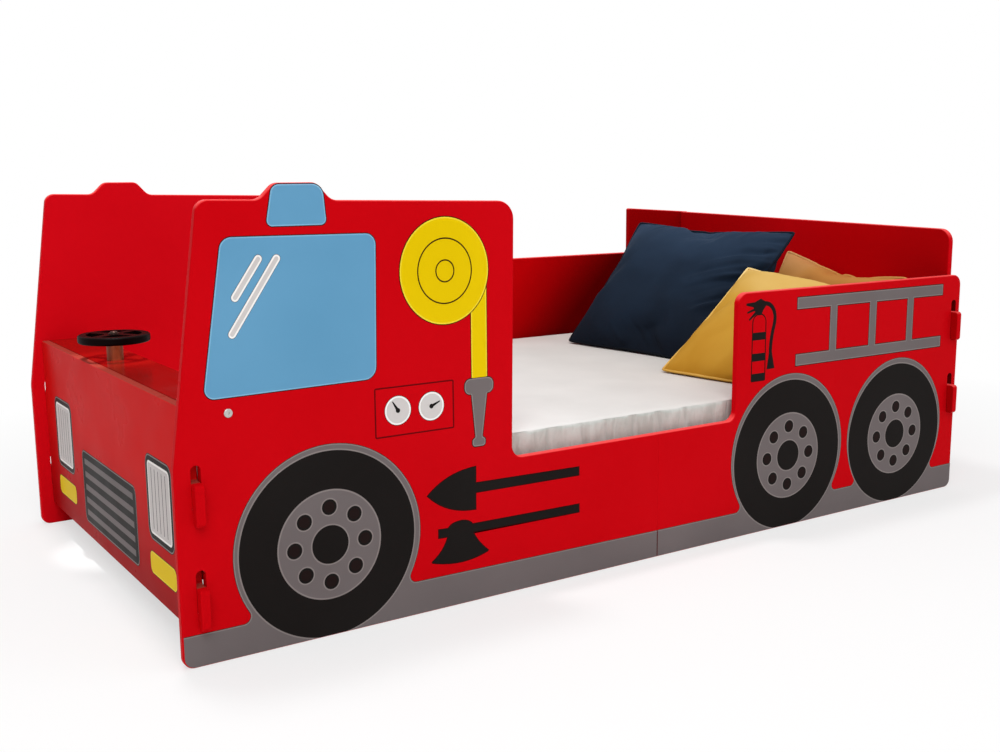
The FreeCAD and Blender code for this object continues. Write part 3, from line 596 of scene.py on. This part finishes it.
extinguisher_coats = [(0.1, "line", grown(bottle, 0.8), grown(bottle, -1.2)), (0.16, "black", head),
                      (0.2, "black", stroke(hose, 7.0)), (0.24, "black", horn)]
for band in BANDS:
    extinguisher_coats.append((0.16, "black", oblong(740.4, 770.4, *band)))
sign("extinguisher", extinguisher_coats)


# Front board: a plain barred grille between two square lamps, printed like the signs on the sides.
# The bars and the lamps' ribs are straight and evenly spaced.
FRONT_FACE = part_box("front_panel")[0].x
LAMP_MIDDLES = (-243.0, 243.0)
LAMP_HALF = 52


def front_face(y, z, lift):
    return Vector((FRONT_FACE - lift / 1000, y / 1000, z / 1000))


on_front = (("front", front_face),)
grille = oblong(-138, 138, 60, 172, 12)
sign("grille", outlined(grille, "black", "grey_groove_highlight"), on_front)
for side, middle in zip(("left", "right"), LAMP_MIDDLES):
    bezel = oblong(middle - LAMP_HALF, middle + LAMP_HALF, 118, 232, 16)
    lens = grown(bezel, -8)
    blinker = oblong(middle - LAMP_HALF, middle + LAMP_HALF, 70, 100, 9)
    sign(f"{side}_lamp", outlined(bezel, "black", "grey_groove_highlight")
         + [(0.3, "white", lens), (0.36, "dial", grown(lens, -3))]
         + outlined(blinker, "yellow", "yellow_groove_highlight"), on_front)

bars_tree, given = nodes_tree("printed_bars", Bars="Int", Length="Float", Width="Float", Pitch="Float",
                              Film="Float", Upright="Float", Paint="Material")
spacing = added(bars_tree, "ShaderNodeCombineXYZ", {"Z": given["Pitch"]})
row = step(bars_tree, "MeshLine", {"Count": given["Bars"], "Offset": spacing})
sizes = {"X": given["Film"], "Y": given["Length"], "Z": given["Width"]}
bar = step(bars_tree, "MeshCube", {"Size": added(bars_tree, "ShaderNodeCombineXYZ", sizes)})
bars = step(bars_tree, "InstanceOnPoints", {"Points": row, "Instance": bar})
tilt = added(bars_tree, "ShaderNodeCombineXYZ", {"X": given["Upright"]})
turned = step(bars_tree, "Transform", {"Geometry": bars, "Rotation": tilt})
sets = step(bars_tree, "InstanceOnPoints", {"Points": given["Geometry"], "Instance": turned})
ended(bars_tree, sets, given["Paint"])
GRILLE_START = front_face(0, 76, 0.2)
LAMP_STARTS = [front_face(middle + 28, 175, 0.25) for middle in LAMP_MIDDLES]
for name, places, length, width, pitch, depth, turn in (
        ("grille_bars", [GRILLE_START], 0.248, 0.009, 0.020, 0.0004, 0.0),
        ("lamp_ribs", LAMP_STARTS, 0.082, 0.0016, 0.014, 0.0005, math.pi / 2)):
    starts = bpy.data.meshes.new(f"{name}_starts")
    starts.from_pydata(places, [], [])
    realised(name, starts, bars_tree, "bed", Bars=5, Length=length, Width=width, Pitch=pitch, Film=depth,
             Upright=turn, Paint=paints["grey"])


# Joints of the sides: raw fibreboard plates behind the seams, beech dowels in the seam's edges
# and zinc-plated countersunk screws.
def metal(name, tone, lighter, low_gloss, high_gloss):
    material, shader, place = new_finish(name)
    clouds = cloudiness(place, 160.0, 4.0)
    feed(shader, {"Base Color": shade_between(clouds, (0.3, tone), (0.7, lighter)),
                  "Roughness": spread_to(clouds, low_gloss, high_gloss), "Metallic": 1.0})
    relief(shader, cloudiness(place, 2200.0, 1.0), 0.00002, 0.4)
    return material


def timber(name, pale, dark, stretch):
    """Planed wood, its grain drawn out along the axis with the smallest stretch."""
    material, shader, place = new_finish(name)
    rings = cloudiness(place, 1.0, 5.0, stretch, 1.4)
    fibres = cloudiness(place, 6.0, 2.0, stretch)
    feed(shader, {"Base Color": shade_between(rings, (0.28, pale), (0.52, dark), (0.66, pale)),
                  "Roughness": spread_to(fibres, 0.5, 0.68)})
    relief(shader, fibres, 0.0002, 0.35)
    return material


def pressed_board(name, pale, dark):
    material, shader, place = new_finish(name)
    fibres = cloudiness(place, 700.0, 4.0)
    feed(shader, {"Base Color": shade_between(fibres, (0.3, dark), (0.7, pale)),
                  "Roughness": spread_to(fibres, 0.75, 0.9)})
    relief(shader, fibres, 0.0001, 0.5)
    return material


raw_board = pressed_board("raw_board", srgb(188, 154, 112), srgb(164, 130, 90))
dress(raw_board, "near_seam_plate", "far_seam_plate")
zinc = metal("zinc", (0.5, 0.51, 0.53, 1), (0.62, 0.63, 0.65, 1), 0.3, 0.45)
dress(zinc, "seam_screws", "bearer_screws", "slat_screws")
dress(timber("beech_along", srgb(214, 176, 128), srgb(190, 148, 100), (3, 60, 60)), "seam_dowels")


# Slatted base: twelve planed pine slats screwed down on four pine bearers.
# The bearers are screwed to the inside of the sides. Their grain runs along the bed, the slats' across it.
pale_pine, dark_pine = srgb(226, 194, 144), srgb(204, 164, 108)
dress(timber("pine_along", pale_pine, dark_pine, (2.5, 45, 45)),
      "near_front_bearer", "near_rear_bearer", "far_front_bearer", "far_rear_bearer")
dress(timber("pine_across", pale_pine, dark_pine, (45, 2.5, 45)), *[f"slat_{i:02d}" for i in range(1, 13)])


# Dash: a lacquered shelf behind the front board, a turned beech spindle, and a black steering wheel that
# turns between steel washers on a round-headed bolt.
dress(lacquer("shelf_lacquer", srgb(140, 15, 10), srgb(144, 17, 12), 0.14, 0.22, 0.2), "dash_shelf")
dress(timber("oiled_beech", srgb(178, 88, 36), srgb(150, 64, 22), (70, 70, 6)), "wheel_spindle")
dress(lacquer("black_lacquer", srgb(10, 3, 3), srgb(15, 5, 5), 0.4, 0.5, 0.03), "steering_wheel")
bright_steel = metal("bright_steel", (0.44, 0.43, 0.41, 1), (0.56, 0.55, 0.53, 1), 0.2, 0.32)
dress(bright_steel, "shelf_screws", "axle_nut", "nut_washer")
# A dark, reddish copy of the steel for the axle and its washers: painted shade and painted reflection of the
# red boards.
painted_shade_steel = metal("painted_shade_steel", (0.05, 0.03, 0.025, 1), (0.08, 0.05, 0.04, 1), 0.4, 0.5)
dress(painted_shade_steel, "wheel_axle", "lower_washer", "upper_washer")


# Mattress: a foam core in a white cover, laid loose on the slats.
# The cover's border is sewn on along a crisp edge and stands in fine upright wrinkles.
# Its top lies smooth, and a little lower along the entry.
MATTRESS_LOW, MATTRESS_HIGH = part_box("mattress")
MATTRESS_CORNER = 0.036
MATTRESS_EDGE = 0.007
NEAR_TOP, FAR_TOP = 0.2255, 0.2415
CAB_START, CAB_FADE, CAB_LEVEL = -0.22, 0.2, 0.85
SLACK_BAND = 0.02
SLACK, FOLD, CREASE = 0.0016, 0.0022, 0.003
SAG, SAG_BAND = 0.0012, 0.05
CROWDING = ((0.3, 0.06), (0.3, 0.12), (0.4, 0.35))
middle = (MATTRESS_LOW + MATTRESS_HIGH) / 2
half = (MATTRESS_HIGH - MATTRESS_LOW) / 2


def mattress_top(x, y):
    """Height of the smooth top: it rises to the far side, and less so inside the cab."""
    rise = (FAR_TOP - NEAR_TOP) * (y + half.y) / (2 * half.y)
    return NEAR_TOP + rise * (1 - CAB_LEVEL * min(1.0, max(0.0, (CAB_START - x) / CAB_FADE)))


def ticking(name):
    """White cotton with a fine crossed weave, a little greyer on the border. Painted shade darkens the top
    towards the rear and streaks the border along its upright wrinkles.
    """
    material, shader, place = new_finish(name)
    up = parts_of(added(place, "ShaderNodeTexCoord", {}, "Normal"))["Z"]
    soil = cloudiness(place, 9.0, 4.0)
    washed = shade_between(soil, (0.3, srgb(226, 224, 222)), (0.7, srgb(234, 232, 230)))
    painted_shade_top = shade_between(soil, (0.3, srgb(209, 204, 200)), (0.7, srgb(216, 211, 207)))
    # Painted shade: the top turns darker towards the rear.
    top = blended(spread_to(parts_of(place)["X"], 0.0, 1.0, -0.2, 0.2), washed, painted_shade_top)
    wrinkles = cloudiness(place, 1.0, 4.0, (62, 62, 16), 0.6)
    # Painted shade: darker streaks along the border's upright wrinkles.
    border = shade_between(wrinkles, (0.35, srgb(186, 188, 182)), (0.6, srgb(206, 207, 202)))
    lying = spread_to(up, 0.0, 1.0, 0.2, 0.8)
    feed(shader, {"Base Color": blended(lying, border, top), "Roughness": 0.85,
                  "Specular IOR Level": 0.1})
    for direction in ("X", "Y"):
        threads = added(place, "ShaderNodeTexWave", {"Vector": place, "Scale": 260.0, "Distortion": 0.6},
                        "Fac", bands_direction=direction)
        relief(shader, threads, 0.00012, 0.3)
    relief(shader, cloudiness(place, 30.0, 3.0), 0.0012, 0.25)
    standing = spread_to(up, 1.0, 0.0, 0.1, 0.5)
    relief(shader, joined("MULTIPLY", wrinkles, standing), 0.006, 0.7)
    return material


def drawn_in(offset):
    """Turns a square corner into a round one, for an offset from the corner's inner end."""
    flat = max(offset)
    if min(offset) <= 0:
        return offset
    size = math.hypot(*offset)
    return offset[0] * flat / size, offset[1] * flat / size


def crowded(share, crowding, band):
    """Moves shares from -1 to 1 closer together near both ends."""
    left = 1 - abs(share)
    return math.copysign(1 - left * (crowding + (1 - crowding) * min(1.0, left / band)), share)


block_tree, given = nodes_tree("even_block", Size="Vector", Along="Int", Across="Int", Up="Int",
                               Cloth="Material")
block = step(block_tree, "MeshCube", {"Size": given["Size"], "Vertices X": given["Along"],
                                      "Vertices Y": given["Across"], "Vertices Z": given["Up"]})
ended(block_tree, block, given["Cloth"])
mattress = realised("mattress_cover", bpy.data.meshes.new("foam_core"), block_tree, None,
                    Size=(2.0, 2.0, 2.0), Along=340, Across=90, Up=24, Cloth=ticking("white_ticking"))
for vertex in mattress.data.vertices:
    x, y, z = (crowded(share, *near_end) * size for share, near_end, size in zip(vertex.co, CROWDING, half))
    beyond = (abs(x) - half.x + MATTRESS_CORNER, abs(y) - half.y + MATTRESS_CORNER)
    round_corner = drawn_in(beyond)
    inset = MATTRESS_CORNER - max(beyond)
    at_edge = (MATTRESS_EDGE - inset, abs(z) - half.z + MATTRESS_EDGE)
    slack = max(0.0, 1 - inset / SLACK_BAND)
    run = x + y
    fold = noise.noise((run * 26, 0.3, z * 12)) + 0.7 * noise.noise((run * 70, 4.1, z * 20))
    crease = max(0.0, 1 - 7 * abs(noise.noise((run * 17 + z * 5, 8.7, 1.0))))
    inward = slack * (SLACK + FOLD * fold + CREASE * crease) * math.cos(z / half.z * math.pi / 2) ** 0.5
    if min(at_edge) > 0:
        round_in, round_up = drawn_in(at_edge)
        inward += at_edge[0] - round_in
        z = math.copysign(half.z - MATTRESS_EDGE + round_up, z)
    outward = Vector([max(0.0, reach) for reach in round_corner]).normalized()
    flat_x, flat_y = ((size - MATTRESS_CORNER + reach if past > 0 else abs(at)) - inward * way
                      for size, reach, past, at, way in zip(half, round_corner, beyond, (x, y), outward))
    top = mattress_top(x, y)
    top -= SAG * noise.noise((x * 5, y * 5, 7.0)) * min(1.0, inset / SAG_BAND)
    share = (z + half.z) / (2 * half.z)
    vertex.co = (middle.x + math.copysign(flat_x, x), middle.y + math.copysign(flat_y, y),
                 MATTRESS_LOW.z + (top - MATTRESS_LOW.z) * share)
mattress.data.shade_smooth()
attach(mattress, "mattress")
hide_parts("mattress")


# Cushions: two velvet panels sewn together and turned, stuffed with fibre, with a corded edge.
# Each is blown up by a cloth simulation from its two flat panels, then laid where it leans.
CELL = 0.007
SWELL = 0.012
FRAMES = 24
STUFFING = {"quality": 6, "mass": 0.2, "tension_stiffness": 18, "compression_stiffness": 18,
            "shear_stiffness": 6, "bending_stiffness": 0.25, "use_pressure": True,
            "uniform_pressure_force": 5}
CLEARANCE = 0.0006
CORD_RADIUS, CORD_LIFT = 0.0024, 0.0015


def velvet(name, deep, tone, bright, sheen, low, high):
    """Short pile in soft random tones, with painted light that turns it bright from the low to the high
    level.
    """
    deep, tone, bright = (srgb(*screen) for screen in (deep, tone, bright))
    material, shader, place = new_finish(name)
    nap = spread_to(cloudiness(place, 7.0, 3.0, distortion=0.4), -0.16, 0.16)
    # Painted light: the pile turns brighter with height.
    level = spread_to(parts_of(place)["Z"], 0.0, 1.0, low, high)
    share = joined("ADD", nap, level)
    pile = cloudiness(place, 900.0, 2.0)
    feed(shader, {"Base Color": shade_between(share, (0.0, deep), (0.5, tone), (1.0, bright)),
                  "Roughness": spread_to(pile, 0.78, 0.95), "Sheen Weight": sheen,
                  "Sheen Roughness": 0.35, "Sheen Tint": bright, "Specular IOR Level": 0.1})
    relief(shader, pile, 0.0003, 0.4)
    return material


def sewn_panels(name, width, height):
    """Two flat panels joined along their edges. Returns the mesh, each vertex's column and row, and the
    seam's vertices in order."""
    across, up = round(width / CELL), round(height / CELL)
    build = bmesh.new()
    sheets, shares = [], []
    for side in (1, -1):
        rows = []
        for j in range(up + 1):
            row = []
            for i in range(across + 1):
                at_seam = i in (0, across) or j in (0, up)
                if at_seam and side < 0:
                    row.append(sheets[0][j][i])
                    continue
                u, v = i / across, j / up
                dome = 0.0 if at_seam else (math.sin(math.pi * u) * math.sin(math.pi * v)) ** 0.5
                row.append(build.verts.new(((u - 0.5) * width, (v - 0.5) * height, side * SWELL * dome)))
                shares.append((i, j))
            rows.append(row)
        sheets.append(rows)
        for j in range(up):
            for i in range(across):
                quad = (rows[j][i], rows[j][i + 1], rows[j + 1][i + 1], rows[j + 1][i])
                build.faces.new(quad if side > 0 else quad[::-1])
    build.verts.index_update()
    front = sheets[0]
    seam = front[0] + [row[-1] for row in front[1:]] + front[-1][-2::-1] + [row[0] for row in front[-2:0:-1]]
    order = [vertex.index for vertex in seam]
    mesh = bpy.data.meshes.new(name)
    build.to_mesh(mesh)
    build.free()
    return mesh, np.array(shares), order


def stuffed(panels):
    """Blows the panels up with Blender's cloth and returns where their points end."""
    trial = bpy.data.objects.new("stuffing", panels)
    scene.collection.objects.link(trial)
    cloth = trial.modifiers.new("stuffing", "CLOTH")
    for name, value in STUFFING.items():
        setattr(cloth.settings, name, value)
    cloth.settings.effector_weights.gravity = 0
    cloth.collision_settings.use_collision = False
    cloth.point_cache.frame_start, cloth.point_cache.frame_end = 1, FRAMES
    for number in range(1, FRAMES + 1):
        scene.frame_set(number)
    swollen = bpy.data.meshes.new_from_object(trial.evaluated_get(bpy.context.evaluated_depsgraph_get()))
    points = np.array([v.co for v in swollen.vertices])
    scene.frame_set(1)
    bpy.data.objects.remove(trial)
    bpy.data.meshes.remove(swollen)
    return points


def squared_up(flat, points, shares, pull_in):
    """Draws the seam back towards the straight edge it was cut to, all but the pull-in at mid-edge, and into
    one plane, and carries the panels along with it. The pull-in is that of the upright, low and top edges."""
    moved = points - flat
    last = shares.max(0)
    at_seam = {tuple(share): moved[i] for i, share in enumerate(shares)
               if min(share) == 0 or (share == last).any()}
    mid_edges = abs(at_seam[(0, last[1] // 2)][0]), abs(at_seam[(last[0] // 2, 0)][1])
    corners = {(a, b): at_seam[(a * last[0], b * last[1])] for a in (0, 1) for b in (0, 1)}
    for i, (column, row) in enumerate(shares):
        u, v = column / last[0], row / last[1]
        shift = ((1 - u) * at_seam[(0, row)] + u * at_seam[(last[0], row)]
                 + (1 - v) * at_seam[(column, 0)] + v * at_seam[(column, last[1])])
        for (a, b), corner in corners.items():
            shift = shift - (u if a else 1 - u) * (v if b else 1 - v) * corner
        kept = pull_in[0], pull_in[1] * (1 - v) + pull_in[2] * v
        undone = [max(0.0, 1 - keep / max(mid, 1e-6)) for keep, mid in zip(kept, mid_edges)]
        points[i] -= shift * (undone + [1.0])
    return points


cord_tree, given = nodes_tree("corded_edge", Radius="Float", Cloth="Material")
line = step(cord_tree, "MeshToCurve", {"Mesh": given["Geometry"]})
round_cord = step(cord_tree, "CurvePrimitiveCircle", {"Resolution": 8, "Radius": given["Radius"]})
tube = step(cord_tree, "CurveToMesh", {"Curve": line, "Profile Curve": round_cord})
ended(cord_tree, step(cord_tree, "SetShadeSmooth", {"Geometry": tube}), given["Cloth"])


def tucked(mesh, depth):
    """Small slanting tucks that run in from the seam and fade out, deepest along the near edge."""
    lifts = []
    for vertex, share in zip(mesh.vertices, mesh.attributes["share"].data):
        u, v, _ = share.vector
        # The way in from each edge, the run along it, in its own stretch of noise, and its share of the depth
        edges = sorted(((u, v, 0.1), (1 - u, v + 3, 1.0), (v, u + 7, 0.2), (1 - v, u + 11, 0.2)))
        (inward, run, share_of_depth), (next_inward, _, _) = edges[:2]
        run += 0.6 * inward
        fade = min(1.0, inward / 0.1, (next_inward - inward) / 0.08)
        fade *= max(0.0, 1 - inward / (0.15 + 0.45 * u))
        tuck = noise.noise((run * 34, 0.5, inward * 3)) + 0.5 * noise.noise((run * 60, 5.5, inward * 3))
        lifts.append(vertex.normal * (depth * share_of_depth * tuck * fade))
    for vertex, lift in zip(mesh.vertices, lifts):
        vertex.co += lift


def laid_clear(mesh, others):
    """Lifts the points on to the mattress, and moves those inside another cushion out to its face."""
    for vertex in mesh.vertices:
        vertex.co.z = max(vertex.co.z, mattress_top(vertex.co.x, vertex.co.y) + CLEARANCE)
    up = Vector((0, 0, 1))
    for other in others:
        faces = BVHTree.FromPolygons([v.co for v in other.data.vertices],
                                     [p.vertices for p in other.data.polygons])
        for vertex in mesh.vertices:
            crossings, place = 0, faces.ray_cast(vertex.co, up)[0]
            while place:
                crossings += 1
                place = faces.ray_cast(place + up * 1e-6, up)[0]
            if crossings % 2:
                face_place, normal = faces.find_nearest(vertex.co)[:2]
                vertex.co = face_place + normal * CLEARANCE


def cushion(body, cloth, edge_cloth, size, corner, turn, pull_in, tuck,
            near_low=(0, 0, 0), near_top=(0, 0, 0), clear_of=()):
    """A cushion placed by its far lower corner and turned by its yaw, lean and roll in degrees. Its two near
    corners sink by the offsets given."""
    width, height, _ = size
    yaw, lean, roll = (math.radians(angle) for angle in turn)
    edge = Vector((math.sin(yaw), -math.cos(yaw), 0))
    rise = Vector((math.cos(yaw) * math.cos(lean), math.sin(yaw) * math.cos(lean), math.sin(lean)))
    across = edge * math.cos(roll) + rise * math.sin(roll)
    upward = rise * math.cos(roll) - edge * math.sin(roll)
    normal = across.cross(upward)
    centre = Vector(corner) + across * (width / 2) + upward * (height / 2)
    panels, shares, seam = sewn_panels(f"{body}_velvet", width, height)
    flat = np.array([v.co for v in panels.vertices])
    points = squared_up(flat, stuffed(panels), shares, pull_in)
    spread = points.max(0) - points.min(0)
    points = (points - (points.max(0) + points.min(0)) / 2) * (np.array(size) / np.maximum(spread, 1e-6))
    points = points @ np.array((across, upward, normal)) + np.array(centre)
    u, v = (shares / shares.max(0)).T[:, :, None]
    points += u * (1 - v) * np.array(near_low) + u * v * np.array(near_top)
    panels.vertices.foreach_set("co", points.ravel())
    share = panels.attributes.new("share", "FLOAT_VECTOR", "POINT")
    share.data.foreach_set("vector", np.hstack((u, v, 0 * u)).ravel())
    panels.shade_smooth()
    panels.materials.append(cloth)
    made = bpy.data.objects.new(f"{body}_velvet", panels)
    scene.collection.objects.link(made)
    faces = made.vertex_groups.new(name="faces")
    faces.add(sorted(set(range(len(points))) - set(seam)), 1.0, "REPLACE")
    eased = made.modifiers.new("eased", "SMOOTH")
    eased.iterations = 8
    eased.vertex_group = "faces"
    finer = made.modifiers.new("finer", "SUBSURF")
    finer.levels = finer.render_levels = 1
    whole = bpy.data.meshes.new_from_object(made.evaluated_get(bpy.context.evaluated_depsgraph_get()))
    tucked(whole, tuck)
    laid_clear(whole, clear_of)
    edge_line = bpy.data.meshes.new(f"{body}_seam")
    ring = [whole.vertices[i].co + Vector((0, 0, CORD_LIFT)) for i in seam]
    edge_line.from_pydata(ring, [(i, (i + 1) % len(ring)) for i in range(len(ring))], [])
    cord = realised(f"{body}_edge_cord", edge_line, cord_tree, None, Radius=CORD_RADIUS, Cloth=edge_cloth)
    made.modifiers.clear()
    made.data = whole
    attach(made, body)
    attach(cord, body)
    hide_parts(f"{body}_cushion")
    return made


gold_velvet = velvet("gold_velvet", (176, 108, 44), (190, 132, 68), (198, 146, 96), 0.08, 0.34, 0.43)
gold_edge = velvet("gold_edge", (176, 112, 50), (200, 146, 80), (208, 160, 108), 0.08, 0.34, 0.43)
gold = cushion("gold", gold_velvet, gold_edge, (0.310, 0.186, 0.076), (0.6218, 0.042, 0.2585), (0, 62, -5),
               (0.014, 0.012, 0.026), 0.003, near_top=(0, 0, -0.012))
navy_velvet = velvet("navy_velvet", (11, 18, 29), (20, 33, 49), (40, 57, 79), 0.05, 0.24, 0.52)
navy_edge = velvet("navy_edge", (8, 12, 19), (12, 18, 28), (20, 29, 43), 0.03, 0.22, 0.52)
navy = cushion("navy", navy_velvet, navy_edge, (0.376, 0.334, 0.104), (0.295, 0.238, 0.2415),
               (15.2, 45, -2.5), (0.014, 0.004, 0.021), 0.017, (-0.02, 0, 0), clear_of=(gold,))
mustard_velvet = velvet("mustard_velvet", (164, 110, 16), (198, 150, 55), (229, 195, 122), 0.12, 0.22, 0.44)
# The mustard cord is a paler copy of the velvet that stands in for light along the edge: painted highlight.
mustard_cord_highlight = velvet("mustard_cord_highlight", (196, 146, 58), (228, 190, 104), (246, 222, 164), 0.12, 0.22, 0.44)
cushion("mustard", mustard_velvet, mustard_cord_highlight, (0.225, 0.314, 0.076), (0.2395, -0.114, 0.2325),
        (10.9, 32.5, 0), (0.006, 0.002, 0.015), 0.003, (0.002, 0, -0.004), (0, 0, -0.024), (gold, navy))


# Studio: a pale floor that keeps the bed's shadow and turns white away from it, a white background,
# a large soft lamp from the upper left, weaker ones from the right and above, and a small one over the dash.
FLOOR_HALF = 20
AMBIENT = 0.42
CAMERA_PLACE = (-1.1443, -1.6780, 0.5810)
CAMERA_TURN = (33.547, -9.729, -0.457)


def white_when_seen(beside):
    """1 for what the camera, metal and glass see, 0 for the light that falls on the bed."""
    rays = added(beside, "ShaderNodeLightPath", {}).node.outputs
    return joined("MAXIMUM", *(rays[f"Is {kind} Ray"] for kind in ("Camera", "Glossy", "Transmission")))


world = bpy.data.worlds.new("studio")
scene.world = world
world.use_nodes = True
backdrop = world.node_tree.nodes["Background"]
strength = spread_to(white_when_seen(backdrop), AMBIENT, 1.0, 0.0, 1.0)
feed(backdrop, {"Color": (1, 1, 1, 1), "Strength": strength})

floor_mesh = bpy.data.meshes.new("floor")
floor_mesh.from_pydata([(x * FLOOR_HALF, y * FLOOR_HALF, 0) for x, y in ((-1, -1), (1, -1), (1, 1), (-1, 1))],
                       [], [(0, 1, 2, 3)])
floor = bpy.data.objects.new("floor", floor_mesh)
scene.collection.objects.link(floor)
floor_finish, shader, place = new_finish("floor")
feed(shader, {"Base Color": (0.9, 0.9, 0.9, 1), "Roughness": 0.9, "Specular IOR Level": 0.0})
squeezed = added(place, "ShaderNodeMapping", {"Vector": place, "Scale": (0.8, 1.0, 1.0)})
distance = added(place, "ShaderNodeVectorMath", {0: squeezed}, "Value", operation="LENGTH")
away = spread_to(distance, 0.6, 1.0, 0.7, 1.5)
whiteness = joined("MULTIPLY", away, white_when_seen(place))
white = added(place, "ShaderNodeEmission", {})
surface = added(place, "ShaderNodeMixShader", {"Fac": whiteness, 1: shader.outputs["BSDF"], 2: white})
feed(floor_finish.node_tree.nodes["Material Output"], {"Surface": surface})
floor_mesh.materials.append(floor_finish)


def lamp(name, place, aim, size, power, cone=None):
    """A square soft lamp, or a spot of that cone in degrees."""
    light = bpy.data.lights.new(name, "SPOT" if cone else "AREA")
    light.energy = power
    if cone:
        light.shadow_soft_size = size
        light.spot_size = math.radians(cone)
        light.spot_blend = 0.7
    else:
        light.shape = "SQUARE"
        light.size = size
    stand = bpy.data.objects.new(name, light)
    stand.location = place
    stand.rotation_mode = "QUATERNION"
    stand.rotation_quaternion = (Vector(aim) - Vector(place)).to_track_quat("-Z", "Y")
    scene.collection.objects.link(stand)


lamp("key_lamp", (-1.6, -2.6, 3.0), (0, 0, 0.2), 2.4, 76)
lamp("fill_lamp", (2.6, -2.2, 2.2), (0.2, 0, 0.2), 2.2, 17)
lamp("top_lamp", (-0.55, 0.35, 3.4), (0, 0, 0.2), 0.5, 38)
steering = sum(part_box("steering_wheel"), Vector()) / 2
lamp("dash_lamp", steering + Vector((-0.06, -0.2, 1.1)), steering, 0.01, 52, 10)

yaw, pitch, roll = (math.radians(angle) for angle in CAMERA_TURN)
turns = ((-yaw, "Z"), (math.pi / 2 + pitch, "X"), (roll, "Z"))
turned, tipped, rolled = (Matrix.Rotation(angle, 4, axis) for angle, axis in turns)
lens = bpy.data.cameras.new("camera")
lens.lens = 42.07
lens.sensor_width = 36.0
lens.sensor_fit = "HORIZONTAL"
camera = bpy.data.objects.new("camera", lens)
camera.matrix_world = Matrix.Translation(CAMERA_PLACE) @ turned @ tipped @ rolled
scene.collection.objects.link(camera)
scene.camera = camera
scene.view_settings.view_transform = "Standard"

bpy.context.view_layer.update()
